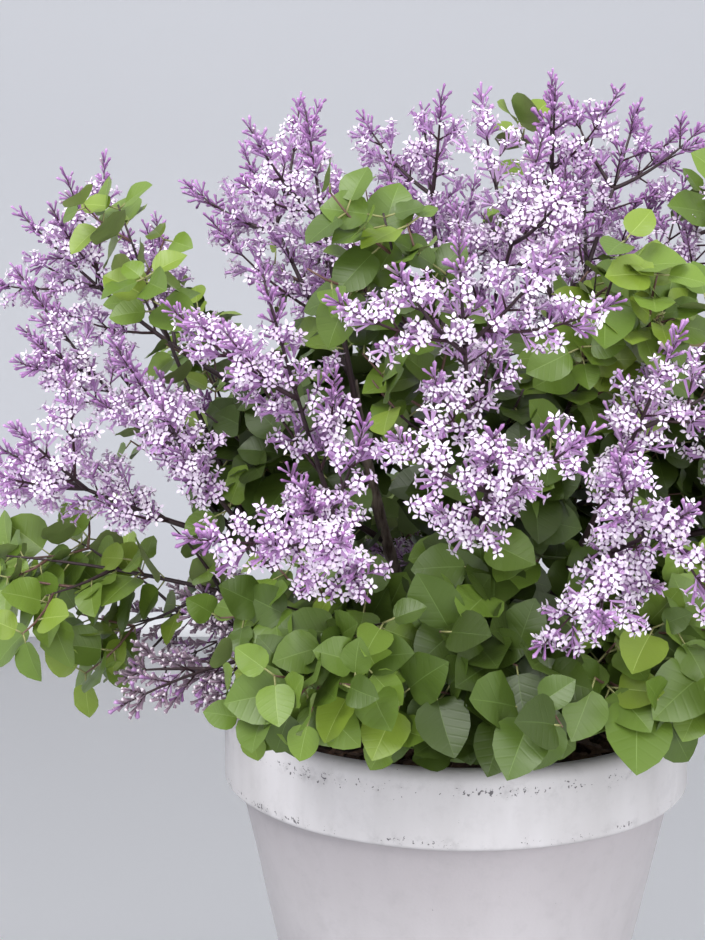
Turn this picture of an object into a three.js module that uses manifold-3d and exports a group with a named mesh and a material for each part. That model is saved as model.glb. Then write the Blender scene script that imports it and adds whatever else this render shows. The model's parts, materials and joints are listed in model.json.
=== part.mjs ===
// A dwarf lilac bush in a whitewashed clay pot. Millimetres, +Z up, origin at the centre of the
// pot's flat underside. The pot holds a plug of soil, a short woody stem foot stands on the
// soil, and tapering boughs rise from it. Each bough carries masses of foliage: one stem, its side
// shoots in opposite pairs, ovate leaves in opposite pairs, and a panicle at the tip of each
// flowering shoot. Every mass keeps to its own cell of the crown.
import * as THREE from "three";
import { mergeVertices } from "three/addons/utils/BufferGeometryUtils.js";
import Module from "manifold-3d";

const wasm = await Module();
wasm.setup();

// Driving dimensions -----------------------------------------------------------------------------
const POT_HEIGHT = 250;
const RIM_RADIUS = 140;
const BAND_HEIGHT = 42; // the thick collar below the rim
const COLLAR_STEP = 9; // how far the collar stands out from the tapered body
const BASE_RADIUS = 86;
const WALL = 12;
const FLOOR = 14;
const SOIL_BELOW_RIM = 20;
const FOOT_HEIGHT = 44;
const FOOT_RADIUS = 21;
const FOOT_FLARE = 12; // added to the radius at the soil, dying out upwards
const SEAT_RADIUS = 13; // the ring in it that the boughs rise from
const STEM_RADIUS = 2.8; // three-sided, at the bough
const TWIG_RADIUS = 2; // three-sided, at the stem
const LEAF_LENGTH = 52;
const LEAF_SPACING = 47; // along a shoot, from pair to pair
const LEAF_WIDTH = 0.38; // half width over length
const LEAF_WIDEST = 0.38; // where along the blade that is
const LEAF_FOLD = 0.06; // how far the side corners stand above the midrib, over length
const LEAF_ARCH = 0.07; // how far the tip bends down, over length
const PANICLE_LENGTH = 92;
const PANICLE_RADIUS = 22;
const CLEAR = 0.4; // gap of touching solids, over their faceted radius

const SOIL_TOP = POT_HEIGHT - SOIL_BELOW_RIM;
const BODY_TOP_RADIUS = RIM_RADIUS - COLLAR_STEP;
const CROWN_BASE = new THREE.Vector3(0, 0, POT_HEIGHT + 20); // reaches are measured from here
const UP = new THREE.Vector3(0, 0, 1);

// The boughs: where each tip lies as azimuth and elevation in degrees and reach in millimetres from
// CROWN_BASE, the height above the soil where it leaves the stem foot, and its radius there.
const BOUGHS = [
  { name: "bough_left", azimuth: 192, elevation: 33, reach: 150, leaves: 20, radius: 4.6 },
  { name: "bough_left_back", azimuth: 158, elevation: 52, reach: 205, leaves: 30, radius: 4.4 },
  { name: "bough_upper_left", azimuth: 205, elevation: 69, reach: 190, leaves: 34, radius: 4.6 },
  { name: "bough_front_left", azimuth: 238, elevation: 30, reach: 135, leaves: 22, radius: 4.2 },
  { name: "bough_front", azimuth: 272, elevation: 44, reach: 150, leaves: 25, radius: 4.4 },
  { name: "bough_front_right", azimuth: 300, elevation: 36, reach: 140, leaves: 19, radius: 4.4 },
  { name: "bough_top", azimuth: 258, elevation: 80, reach: 190, leaves: 35, radius: 4.6 },
  { name: "bough_top_right", azimuth: 350, elevation: 73, reach: 200, leaves: 33, radius: 4.8 },
  { name: "bough_right", azimuth: 347, elevation: 33, reach: 160, leaves: 21, radius: 4.6 },
  { name: "bough_back_right", azimuth: 42, elevation: 46, reach: 165, leaves: 27, radius: 4.4 },
  { name: "bough_back", azimuth: 92, elevation: 48, reach: 160, leaves: 24, radius: 4.4 },
  { name: "bough_back_left", azimuth: 138, elevation: 34, reach: 145, leaves: 18, radius: 4.2 },
];

// The masses: the bough that carries each and how far along it, where its furthest tip lies from
// CROWN_BASE, how much its stem sags below a straight line (negative arches over), its pairs of
// side shoots and their length, and how many of its shoots end in panicles.
const MASSES = [
  { name: "far_left_top", bough: "bough_left_back", along: 1, azimuth: 173, elevation: 46, reach: 386, sag: 20, pairs: 2, side: 76, panicles: 5 },
  { name: "left_upper", bough: "bough_left", along: 0.84, azimuth: 184, elevation: 43, reach: 352, sag: 18, pairs: 2, side: 86, panicles: 5 },
  { name: "left_shoulder", bough: "bough_left", along: 1, azimuth: 195, elevation: 28, reach: 300, sag: 10, pairs: 2, side: 85, panicles: 5 },
  { name: "left_front_shoulder", bough: "bough_left", along: 0.68, azimuth: 214, elevation: 42, reach: 296, sag: 16, pairs: 2, side: 80, panicles: 5 },
  { name: "left_leaves", bough: "bough_left", along: 0.92, azimuth: 197, elevation: 54, reach: 340, sag: 14, pairs: 2, side: 48, panicles: 0 },
  { name: "left_arc", bough: "bough_left", along: 0.5, azimuth: 188, elevation: 16, reach: 276, sag: -14, pairs: 2, side: 48, panicles: 0 },
  { name: "low_left", bough: "bough_left", along: 0.34, azimuth: 204, elevation: 0, reach: 208, sag: -24, pairs: 2, side: 62, panicles: 5 },
  { name: "inner_left", bough: "bough_upper_left", along: 0.5, azimuth: 200, elevation: 46, reach: 225, sag: 6, pairs: 2, side: 62, panicles: 0 },
  { name: "low_left_back", bough: "bough_back_left", along: 0.5, azimuth: 170, elevation: 4, reach: 226, sag: -16, pairs: 2, side: 60, panicles: 3 },
  { name: "upper_left", bough: "bough_upper_left", along: 1, azimuth: 180, elevation: 68, reach: 336, sag: 12, pairs: 2, side: 80, panicles: 5 },
  { name: "centre_left_top", bough: "bough_upper_left", along: 0.82, azimuth: 214, elevation: 72, reach: 342, sag: 12, pairs: 2, side: 74, panicles: 5 },
  { name: "front_left", bough: "bough_front_left", along: 1, azimuth: 248, elevation: 31, reach: 262, sag: 8, pairs: 2, side: 72, panicles: 5 },
  { name: "upper_front_left", bough: "bough_front_left", along: 0.82, azimuth: 236, elevation: 51, reach: 300, sag: 14, pairs: 2, side: 74, panicles: 5 },
  { name: "low_front_left", bough: "bough_front_left", along: 0.62, azimuth: 246, elevation: 16, reach: 190, sag: -14, pairs: 2, side: 58, panicles: 0 },
  { name: "front_leaves", bough: "bough_front", along: 0.9, azimuth: 252, elevation: 60, reach: 304, sag: 12, pairs: 2, side: 44, panicles: 0 },
  { name: "front_upper", bough: "bough_front", along: 1, azimuth: 266, elevation: 53, reach: 308, sag: 14, pairs: 2, side: 75, panicles: 5 },
  { name: "front_centre", bough: "bough_front", along: 0.8, azimuth: 270, elevation: 35, reach: 280, sag: 8, pairs: 2, side: 75, panicles: 5 },
  { name: "low_front", bough: "bough_front", along: 0.45, azimuth: 270, elevation: 17, reach: 172, sag: -12, pairs: 2, side: 60, panicles: 0 },
  { name: "inner_front", bough: "bough_top", along: 0.5, azimuth: 282, elevation: 55, reach: 215, sag: 6, pairs: 2, side: 62, panicles: 0 },
  { name: "front_right", bough: "bough_front_right", along: 0.82, azimuth: 296, elevation: 45, reach: 290, sag: 10, pairs: 2, side: 70, panicles: 5 },
  { name: "right_leaves", bough: "bough_top_right", along: 0.55, azimuth: 296, elevation: 57, reach: 300, sag: 10, pairs: 2, side: 54, panicles: 0 },
  { name: "right_lower", bough: "bough_front_right", along: 1, azimuth: 292, elevation: 28, reach: 268, sag: 6, pairs: 2, side: 78, panicles: 5 },
  { name: "low_right", bough: "bough_front_right", along: 0.5, azimuth: 306, elevation: 15, reach: 200, sag: -14, pairs: 2, side: 60, panicles: 0 },
  { name: "top_centre", bough: "bough_top", along: 1, azimuth: 205, elevation: 86, reach: 334, sag: 6, pairs: 2, side: 82, panicles: 5 },
  { name: "upper_right_front", bough: "bough_top", along: 0.8, azimuth: 284, elevation: 66, reach: 330, sag: 12, pairs: 2, side: 75, panicles: 5 },
  { name: "top_right_spire", bough: "bough_top_right", along: 0.86, azimuth: 325, elevation: 80, reach: 352, sag: 8, pairs: 2, side: 70, panicles: 3 },
  { name: "top_right", bough: "bough_top_right", along: 1, azimuth: 8, elevation: 72, reach: 356, sag: 10, pairs: 2, side: 80, panicles: 5 },
  { name: "right_leader", bough: "bough_top_right", along: 0.7, azimuth: 342, elevation: 62, reach: 368, sag: 14, pairs: 2, side: 70, panicles: 2 },
  { name: "inner_right", bough: "bough_top_right", along: 0.5, azimuth: 345, elevation: 44, reach: 225, sag: 6, pairs: 2, side: 62, panicles: 0 },
  { name: "right_front", bough: "bough_right", along: 0.75, azimuth: 324, elevation: 43, reach: 300, sag: 14, pairs: 2, side: 78, panicles: 5 },
  { name: "far_right_top", bough: "bough_right", along: 0.9, azimuth: 3, elevation: 47, reach: 380, sag: 18, pairs: 2, side: 86, panicles: 5 },
  { name: "far_right", bough: "bough_right", along: 1, azimuth: 344, elevation: 26, reach: 305, sag: 8, pairs: 2, side: 82, panicles: 5 },
  { name: "right_arc", bough: "bough_right", along: 0.5, azimuth: 348, elevation: 8, reach: 266, sag: -20, pairs: 2, side: 66, panicles: 0 },
  { name: "low_right_back", bough: "bough_back_right", along: 0.45, azimuth: 28, elevation: 6, reach: 246, sag: -18, pairs: 2, side: 66, panicles: 1 },
  { name: "back_right", bough: "bough_back_right", along: 1, azimuth: 34, elevation: 36, reach: 318, sag: 14, pairs: 2, side: 85, panicles: 4 },
  { name: "back_right_top", bough: "bough_back_right", along: 0.8, azimuth: 56, elevation: 62, reach: 355, sag: 14, pairs: 2, side: 80, panicles: 5 },
  { name: "inner_back", bough: "bough_left_back", along: 0.6, azimuth: 100, elevation: 62, reach: 245, sag: 6, pairs: 2, side: 62, panicles: 0 },
  { name: "back_centre", bough: "bough_back", along: 1, azimuth: 84, elevation: 36, reach: 314, sag: 12, pairs: 2, side: 84, panicles: 5 },
  { name: "back_left_top", bough: "bough_back", along: 0.8, azimuth: 116, elevation: 62, reach: 358, sag: 14, pairs: 2, side: 80, panicles: 5 },
  { name: "low_back", bough: "bough_back", along: 0.45, azimuth: 96, elevation: 6, reach: 240, sag: -18, pairs: 2, side: 66, panicles: 1 },
  { name: "back_left", bough: "bough_back_left", along: 1, azimuth: 132, elevation: 32, reach: 310, sag: 12, pairs: 2, side: 82, panicles: 4 },
];

// How a side shoot is tried: its length over the full one and how far it is turned.
const SHOOT_TRIES = [
  [1, 0],
  [0.85, 0.5],
  [0.85, -0.5],
  [0.68, 0],
  [0.68, 0.9],
];
const BLOOM_APART = 0.45; // between two blooms of a mass, over the sum of their radii
const LEAF_TRIES = [1, 0.75]; // length over the full one
const LEAF_APART = 24; // between the middles of two leaves of a mass
const LIMB_GAP = 2; // from foliage to the limbs of other masses
const HANGS_TO = [262, 236]; // how low foliage hangs just outside the rim, and further out
const FURTHER_OUT = 205;

// Colours and finishes ---------------------------------------------------------------------------
const WHITEWASH = new THREE.MeshStandardMaterial({ color: 0xcfcbcb, roughness: 0.62, metalness: 0 });
const SOIL = new THREE.MeshStandardMaterial({ color: 0x3a2c22, roughness: 0.95, metalness: 0 });
const BARK = new THREE.MeshStandardMaterial({ color: 0x5a4a40, roughness: 0.85, metalness: 0 });
const FOLIAGE = new THREE.MeshStandardMaterial({ color: 0x5f8f32, roughness: 0.5, metalness: 0 });

// Solids -----------------------------------------------------------------------------------------
function solidOf(geometry) {
  const bare = new THREE.BufferGeometry();
  bare.setAttribute("position", geometry.getAttribute("position"));
  bare.setIndex(geometry.index);
  const merged = mergeVertices(bare, 1e-3);
  const mesh = new wasm.Mesh({
    numProp: 3,
    vertProperties: new Float32Array(merged.attributes.position.array),
    triVerts: new Uint32Array(merged.index.array),
  });
  return new wasm.Manifold(mesh);
}

function geometryOf(solid) {
  const mesh = solid.getMesh();
  const geometry = new THREE.BufferGeometry();
  geometry.setAttribute("position", new THREE.BufferAttribute(parted(mesh.vertProperties, mesh.triVerts), 3));
  geometry.setIndex(new THREE.BufferAttribute(mesh.triVerts, 1));
  geometry.computeVertexNormals();
  return geometry;
}

// Corners that a cut left in one place are drawn a hair apart, and so is the middle one of three
// in a line, so that every corner keeps its own faces and every face an area.
const HAIR = 0.03;

function parted(numbers, faces) {
  const corners = [];
  for (let i = 0; i < numbers.length; i += 3) {
    const corner = new THREE.Vector3().fromArray(numbers, i);
    while (corners.some((other) => other.distanceToSquared(corner) < 4e-4)) corner.z += HAIR;
    corners.push(corner);
  }
  for (let i = 0; i < faces.length; i += 3) {
    const [a, b, c] = [0, 1, 2].map((k) => corners[faces[i + k]]);
    const sides = [a, b, c].map((corner, k) => [corner, [c, a, b][k].clone().sub([b, c, a][k])]);
    const [across, side] = sides.reduce((best, other) => (other[1].length() > best[1].length() ? other : best));
    const height = (2 * new THREE.Triangle(a, b, c).getArea()) / side.length();
    if (height < 0.1 * HAIR) across.addScaledVector(side.cross(UP).normalize(), 0.5 * HAIR);
  }
  corners.forEach((corner, i) => corner.toArray(numbers, 3 * i));
  return numbers;
}

function largest(solid) {
  const pieces = solid.decompose();
  return pieces.reduce((best, piece) => (piece.volume() > best.volume() ? piece : best), pieces[0]);
}

function deform(geometry, place) {
  const position = geometry.getAttribute("position");
  const point = new THREE.Vector3();
  for (let i = 0; i < position.count; i++) {
    point.fromBufferAttribute(position, i);
    const moved = place(point);
    position.setXYZ(i, moved.x, moved.y, moved.z);
  }
  return geometry;
}

// A profile of [radius, height] pairs turned about the Z axis.
function turned(profile, sides) {
  const points = profile.map(([radius, height]) => new THREE.Vector2(radius, height));
  return new THREE.LatheGeometry(points, sides).rotateX(Math.PI / 2);
}

function aim(azimuth, elevation) {
  const turn = THREE.MathUtils.degToRad(azimuth);
  const rise = THREE.MathUtils.degToRad(elevation);
  return new THREE.Vector3(Math.cos(turn) * Math.cos(rise), Math.sin(turn) * Math.cos(rise), Math.sin(rise));
}

function atReach({ azimuth, elevation, reach }) {
  return aim(azimuth, elevation).multiplyScalar(reach).add(CROWN_BASE);
}

// Two directions square to an axis, the first as level as it can be. The first, the axis and the
// second are right-handed in that order.
function squareTo(axis) {
  const level = Math.abs(axis.z) > 0.999 ? new THREE.Vector3(1, 0, 0) : UP.clone().cross(axis).normalize();
  return [level, level.clone().cross(axis)];
}

// The first stretch of a curve.
const upTo = (path, end) => ({
  getPoint: (t) => path.getPoint(t * end),
  getTangent: (t) => path.getTangent(t * end),
});

// A round limb along a curve: a closed cylinder bent to it. More than zero of grow gives the shape
// that keeps other solids clear of the limb.
function limb(path, radiusAt, sides, rings, grow = 0) {
  const over = squareTo(path.getPoint(1).sub(path.getPoint(0)).normalize())[1];
  return deform(new THREE.CylinderGeometry(1, 1, 1, sides, rings), (point) => {
    const t = point.y + 0.5;
    const tangent = path.getTangent(t);
    const beyond = t < 1e-6 ? -grow : t > 1 - 1e-6 ? grow : 0;
    const first = tangent.clone().cross(over).normalize();
    const second = first.clone().cross(tangent);
    const radius = radiusAt(t) + grow;
    const centre = path.getPoint(t).addScaledVector(tangent, beyond);
    return centre.addScaledVector(first, point.x * radius).addScaledVector(second, point.z * radius);
  });
}

// Pot and soil -----------------------------------------------------------------------------------
const POT_SIDES = 34;
const BAND_FOOT = POT_HEIGHT - BAND_HEIGHT;

// The inside radius: even with the tapered body, then widening to the mouth behind the collar.
function potInside(height) {
  const body = BASE_RADIUS + ((BODY_TOP_RADIUS - BASE_RADIUS) * Math.min(height, BAND_FOOT)) / BAND_FOOT - WALL;
  const widening = (RIM_RADIUS - BODY_TOP_RADIUS) * Math.max(0, (height - BAND_FOOT) / BAND_HEIGHT);
  return body + widening;
}

const POT_PROFILE = [
  [0, 0],
  [BASE_RADIUS - 3, 0],
  [BASE_RADIUS, 3],
  [BODY_TOP_RADIUS, BAND_FOOT],
  [RIM_RADIUS - 2, BAND_FOOT],
  [RIM_RADIUS, BAND_FOOT + 2],
  [RIM_RADIUS, POT_HEIGHT - 9],
  [RIM_RADIUS - 2.5, POT_HEIGHT - 2.5],
  [RIM_RADIUS - 7, POT_HEIGHT],
  [potInside(POT_HEIGHT - 2), POT_HEIGHT - 2],
  [potInside(BAND_FOOT), BAND_FOOT],
  [potInside(FLOOR), FLOOR],
  [0, FLOOR],
];

function pot() {
  return turned(POT_PROFILE, POT_SIDES);
}

function soil() {
  const corners = [FLOOR + CLEAR, BAND_FOOT, SOIL_TOP].map((height) => [potInside(height) - CLEAR, height]);
  return turned([[0, FLOOR + CLEAR], ...corners, [0, SOIL_TOP]], POT_SIDES);
}

// The space of the pot and its soil, a little larger, which the foliage is kept out of.
function potSpace() {
  const out = RIM_RADIUS + 1;
  const outline = [
    [0, -1],
    [BASE_RADIUS + 1, -1],
    [BODY_TOP_RADIUS + 1, BAND_FOOT - 1],
    [out, BAND_FOOT - 1],
    [out, POT_HEIGHT - 8],
    [RIM_RADIUS - 6.5, POT_HEIGHT + 1],
    [potInside(POT_HEIGHT) - 1.5, POT_HEIGHT + 1],
    [potInside(SOIL_TOP) - 1, SOIL_TOP + 1],
    [0, SOIL_TOP + 1],
  ];
  return solidOf(turned(outline, POT_SIDES));
}

// Stem foot and boughs -------------------------------------------------------------------------------
const STEM_FOOT = new THREE.Vector3(0, 0, SOIL_TOP + 0.3);
const footPath = new THREE.QuadraticBezierCurve3(
  STEM_FOOT,
  new THREE.Vector3(0, 0, SOIL_TOP + FOOT_HEIGHT / 2),
  new THREE.Vector3(-2, 2, SOIL_TOP + FOOT_HEIGHT),
);
const footRadius = (t) => (t > 0.98 ? 0.82 : 1) * FOOT_RADIUS * (1 - 0.12 * t) + FOOT_FLARE * (1 - t) ** 3;

function boughPath({ azimuth, elevation, reach, leaves }) {
  const start = aim(azimuth, 0).multiplyScalar(SEAT_RADIUS).add(new THREE.Vector3(0, 0, SOIL_TOP + leaves));
  const tip = atReach({ azimuth, elevation, reach });
  const knee = start.clone().lerp(tip, 0.45).addScaledVector(aim(azimuth, 0), 0.07 * reach);
  return new THREE.QuadraticBezierCurve3(start, knee, tip);
}

const boughTaper = ({ radius }) => (t) => radius * (1 - 0.48 * t);

// Growth -----------------------------------------------------------------------------------------
// The same numbers each run: a linear congruential generator, between 0 and 1.
function seededRandom(seed) {
  let state = seed >>> 0;
  return () => {
    state = (Math.imul(state, 1664525) + 1013904223) >>> 0;
    return state / 4294967296;
  };
}

// A direction at an angle from an axis, turned about it.
function branchAim(axis, angle, turn) {
  const [level, over] = squareTo(axis);
  return axis
    .clone()
    .multiplyScalar(Math.cos(angle))
    .addScaledVector(level, Math.sin(angle) * Math.cos(turn))
    .addScaledVector(over, Math.sin(angle) * Math.sin(turn));
}

function stemPath(row) {
  const bough = BOUGHS.find(({ name }) => name === row.bough);
  const start = boughPath(bough).getPoint(row.along);
  const tip = atReach(row);
  const middle = start.clone().lerp(tip, 0.5).addScaledVector(UP, -row.sag);
  return new THREE.QuadraticBezierCurve3(start, middle, tip);
}

// The shoots of a mass: the stem first, then its side shoots in opposite pairs, each pair a quarter
// turn round from the last, longest at the bottom and bending up to the light. A side shoot that
// doesn't fit is tried again shorter and turned, and then left out.
function shootsOf(row, index) {
  const random = seededRandom(7919 * (index + 1));
  const stem = { path: stemPath(row), thick: STEM_RADIUS, thin: TWIG_RADIUS, leafy: 0.22, flowers: row.panicles > 0 };
  const shoots = [stem];
  const phase = random() * Math.PI;
  for (let i = 0; i < row.pairs * 2; i++) {
    const pair = Math.floor(i / 2);
    const t = 0.34 + (0.32 * pair) / Math.max(1, row.pairs - 1) + 0.05 * random();
    const turn = phase + pair * (Math.PI / 2) + (i % 2) * Math.PI + 0.5 * (random() - 0.5);
    const spread = 0.75 + 0.25 * random();
    const full = row.side * (1 - 0.22 * pair) * (0.85 + 0.3 * random());
    const flowers = shoots.filter((shoot) => shoot.flowers).length < row.panicles;
    const tries = SHOOT_TRIES.map(([scale, turned]) => ({
      path: sideShoot(stem.path, t, spread, turn + turned, full * scale, row.sag > 0 ? 0.1 : 0),
      thick: TWIG_RADIUS,
      thin: 0.7 * TWIG_RADIUS,
      leafy: 0.25,
      flowers,
    }));
    const fitting = tries.find((shoot) => isFree(index, shootProbes(shoot)) && isApart(shoot, shoots));
    if (fitting) shoots.push(fitting);
  }
  return shoots;
}

function sideShoot(stem, t, spread, turn, length, lift) {
  const axis = stem.getTangent(t);
  const start = stem.getPoint(t);
  const out = branchAim(axis, spread, turn);
  const tip = start.clone().addScaledVector(out, length).addScaledVector(axis, 0.22 * length);
  tip.addScaledVector(UP, lift * length);
  return new THREE.QuadraticBezierCurve3(start, start.clone().addScaledVector(out, 0.55 * length), tip);
}

// Balls that stand for a shoot when it is fitted into its cell.
function shootProbes({ path, flowers }) {
  const twig = [0.35, 0.7, 1].map((t) => ({ point: path.getPoint(t), radius: 1 }));
  if (!flowers) return twig;
  const from = panicleStart(path);
  const size = panicleSize(path);
  const bloom = [0.2, 0.5, 0.8].map((u) => ({
    point: path.getPoint(from + (1 - from) * u),
    radius: size * panicleOutline(u),
  }));
  return twig.concat(bloom);
}

// Whether the bloom of a shoot stands clear of the blooms that the mass already has.
function isApart(shoot, shoots) {
  if (!shoot.flowers) return true;
  const balls = shootProbes(shoot).slice(3);
  const others = shoots.filter(({ flowers }) => flowers).flatMap((other) => shootProbes(other).slice(3));
  return balls.every((ball) =>
    others.every((other) => other.point.distanceTo(ball.point) > BLOOM_APART * (other.radius + ball.radius)),
  );
}

// Leaves stand in opposite pairs along the part of a shoot below its panicle. They lean out from
// the shoot and turn their faces up and away from the middle of the crown. One that doesn't fit is
// tried smaller, and then left out.
function leavesOf(shoot, index, blooms, taken, random) {
  const length = shoot.path.getLength();
  const bare = shoot.flowers ? Math.max(0.3, panicleStart(shoot.path)) : 1;
  const pairs = Math.max(1, Math.round(((bare - shoot.leafy) * length) / LEAF_SPACING));
  const leaves = [];
  for (let i = 0; i < pairs * 2; i++) {
    const pair = Math.floor(i / 2);
    const t = Math.min(0.985, shoot.leafy + ((bare - shoot.leafy) * (pair + 0.7)) / pairs);
    const axis = shoot.path.getTangent(t);
    const turn = 0.4 + pair * (Math.PI / 2) + 0.6 * (random() - 0.5) + (i % 2) * Math.PI;
    const out = branchAim(axis, 0.9 + 0.35 * random(), turn);
    const along = out.addScaledVector(UP, -0.35 * random()).normalize();
    const foot = shoot.path.getPoint(t).addScaledVector(along, -0.2);
    const light = new THREE.Vector3(foot.x, foot.y, 0).normalize().add(UP).addScaledVector(axis, 0.4);
    const face = light.addScaledVector(along, -light.dot(along)).normalize();
    const full = LEAF_LENGTH * (0.85 + 0.3 * random());
    const fits = (leaf) => isFree(index, leafProbes(leaf)) && isOpen(leaf, blooms, taken);
    const leaf = LEAF_TRIES.map((scale) => ({ foot, along, face, length: full * scale })).find(fits);
    if (!leaf) continue;
    taken.push(leafMiddle(leaf));
    leaves.push(leaf);
  }
  return leaves;
}

const leafMiddle = ({ foot, along, length }) => foot.clone().addScaledVector(along, 0.55 * length);

function leafProbes({ foot, along, face, length }) {
  const across = along.clone().cross(face).multiplyScalar(LEAF_WIDTH * length);
  const wide = foot.clone().addScaledVector(along, LEAF_WIDEST * length);
  const tip = foot.clone().addScaledVector(along, length).addScaledVector(face, -LEAF_ARCH * length);
  return [wide.clone().add(across), wide.clone().sub(across), tip].map((point) => ({ point, radius: 0 }));
}

function isOpen(leaf, blooms, taken) {
  const middle = leafMiddle(leaf);
  return (
    taken.every((other) => other.distanceTo(middle) > LEAF_APART) &&
    blooms.every((shoot) => shootProbes(shoot).every(({ point, radius }) => point.distanceTo(middle) > radius + 4))
  );
}

// An ovate blade as a slim four-sided wedge: its keel, the midrib, runs from foot to tip, and the
// two side corners stand a little above it, so the blade is folded along the midrib and arched.
function leafBlade({ foot, along, face, length }) {
  const across = along.clone().cross(face).normalize();
  const over = across.clone().cross(along);
  return deform(new THREE.TetrahedronGeometry(1), ({ x, z }) => {
    const beside = z > 0;
    const u = beside ? LEAF_WIDEST : x > 0 ? 1 : 0;
    return foot
      .clone()
      .addScaledVector(along, u * length)
      .addScaledVector(across, beside ? -Math.sign(x) * LEAF_WIDTH * length : 0)
      .addScaledVector(over, (beside ? LEAF_FOLD : -LEAF_ARCH * u) * length);
  });
}

// A panicle: a knobbly cone of bloom round the last stretch of its shoot.
const panicleSize = (path) => PANICLE_RADIUS * Math.min(1, path.getLength() / 75);
const panicleStart = (path) => Math.max(0.28, 1 - PANICLE_LENGTH / path.getLength());
const PANICLE_SIDES = 5;
const PANICLE_RINGS = 5;
const panicleOutline = (u) => Math.sin(Math.PI * Math.min(1, u + 0.06) ** 0.62) * (1.08 - 0.35 * u) + 0.05;

function panicleBloom(shoot, random) {
  const from = panicleStart(shoot.path);
  const size = panicleSize(shoot.path);
  const knobs = Array.from({ length: (PANICLE_SIDES + 1) * PANICLE_RINGS }, () => 0.9 + 0.2 * random());
  return deform(new THREE.SphereGeometry(1, PANICLE_SIDES, PANICLE_RINGS), (point) => {
    const u = 1 - Math.acos(THREE.MathUtils.clamp(point.y, -1, 1)) / Math.PI;
    const ring = Math.round(u * PANICLE_RINGS);
    const t = from + (1 - from) * u;
    const centre = shoot.path.getPoint(t).addScaledVector(shoot.path.getTangent(t), 4 * u);
    if (ring === 0 || ring === PANICLE_RINGS) return centre;
    const place = Math.round((Math.atan2(point.z, point.x) / (2 * Math.PI) + 0.5) * PANICLE_SIDES) % PANICLE_SIDES;
    const knob = knobs[ring * PANICLE_SIDES + place] * ((ring + place) % 2 ? 1.12 : 0.72);
    const [level, over] = squareTo(shoot.path.getTangent(t));
    const turn = (place / PANICLE_SIDES) * 2 * Math.PI;
    const radius = size * panicleOutline(u) * knob;
    return centre.addScaledVector(level, radius * Math.cos(turn)).addScaledVector(over, radius * Math.sin(turn));
  });
}

// Cells ------------------------------------------------------------------------------------------
const CELL_GAP = 1.5; // how far a mass stays inside the planes that part it from its neighbours
const hearts = MASSES.map((row) => stemPath(row).getPoint(0.66));

// The limbs that foliage keeps clear of: each as points along it with its radius.
const trackOf = (path, radiusAt) =>
  Array.from({ length: 31 }, (_, i) => ({ point: path.getPoint(i / 30), radius: radiusAt(i / 30) }));
const boughTracks = BOUGHS.map((row) => trackOf(boughPath(row), boughTaper(row)));
const stemTracks = MASSES.map((row) => trackOf(stemPath(row), () => STEM_RADIUS));

// Whether balls lie in the cell of a mass, clear of the limbs of the others, the soil and the pot.
function isFree(index, probes) {
  const own = hearts[index];
  const limbs = boughTracks.concat(stemTracks.filter((_, i) => i !== index)).flat();
  return probes.every(({ point, radius }) => {
    const aside = hearts.every((other, i) => {
      if (i === index) return true;
      const across = other.clone().sub(own);
      return point.clone().sub(own).dot(across) / across.length() < across.length() / 2 - radius - CELL_GAP;
    });
    const out = Math.hypot(point.x, point.y);
    const beside = out > FURTHER_OUT ? HANGS_TO[1] : HANGS_TO[0];
    const floor = out > RIM_RADIUS + 2 ? beside : out > RIM_RADIUS - WALL - 2 ? POT_HEIGHT + 2 : SOIL_TOP + 4;
    return (
      aside &&
      point.z - radius > floor &&
      limbs.every((limb) => limb.point.distanceTo(point) > limb.radius + radius + LIMB_GAP)
    );
  });
}

// Assembly ---------------------------------------------------------------------------------------
function boughRings(rings, grow) {
  return (row) => solidOf(limb(boughPath(row), boughTaper(row), 6, rings, grow));
}

const stemFoot = solidOf(limb(footPath, footRadius, 10, 5));
const footSpace = solidOf(limb(footPath, footRadius, 10, 5, CLEAR));
const boughs = BOUGHS.map(boughRings(4, 0)).map((bough) => largest(bough.subtract(footSpace).simplify(0.05)));
const boughSpaces = BOUGHS.map(boughRings(4, CLEAR));
const stemRadius = (t) => STEM_RADIUS + (TWIG_RADIUS - STEM_RADIUS) * t;
const stemSpaces = MASSES.map((row) => solidOf(limb(stemPath(row), stemRadius, 3, 4, 2 * CLEAR)));
const potKeepOut = potSpace();

function foliageMass(row, index) {
  const random = seededRandom(104729 * (index + 1));
  const shoots = shootsOf(row, index);
  const blooms = shoots.filter(({ flowers }) => flowers);
  const taken = [];
  const parts = shoots.flatMap((shoot, order) => {
    const radiusAt = (t) => shoot.thick + (shoot.thin - shoot.thick) * t;
    const end = shoot.flowers ? 0.75 * panicleStart(shoot.path) + 0.25 : 1;
    const twig = limb(upTo(shoot.path, end), radiusAt, 3, order ? 2 : 3);
    const blades = leavesOf(shoot, index, blooms, taken, random).map(leafBlade);
    return [twig, ...blades, ...(shoot.flowers ? [panicleBloom(shoot, random)] : [])];
  });
  const others = stemSpaces.filter((_, i) => i !== index);
  const obstacles = wasm.Manifold.union([footSpace, potKeepOut, ...boughSpaces, ...others]);
  return largest(wasm.Manifold.union(parts.map(solidOf)).subtract(obstacles).simplify(0.05));
}
function named(name, geometry, material) {
  const mesh = new THREE.Mesh(geometry, material);
  mesh.name = name;
  return mesh;
}

const bush = new THREE.Group();
bush.add(named("pot", pot(), WHITEWASH));
bush.add(named("soil", soil(), SOIL));
bush.add(named("stem_foot", geometryOf(stemFoot), BARK));
BOUGHS.forEach((row, i) => bush.add(named(row.name, geometryOf(boughs[i]), BARK)));
MASSES.forEach((row, i) => bush.add(named("mass_" + row.name, geometryOf(foliageMass(row, i)), FOLIAGE)));

export default bush;
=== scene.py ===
import json
import math
from collections import namedtuple

import bmesh
import bpy
import numpy as np
from mathutils import Matrix, Vector, noise

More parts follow.
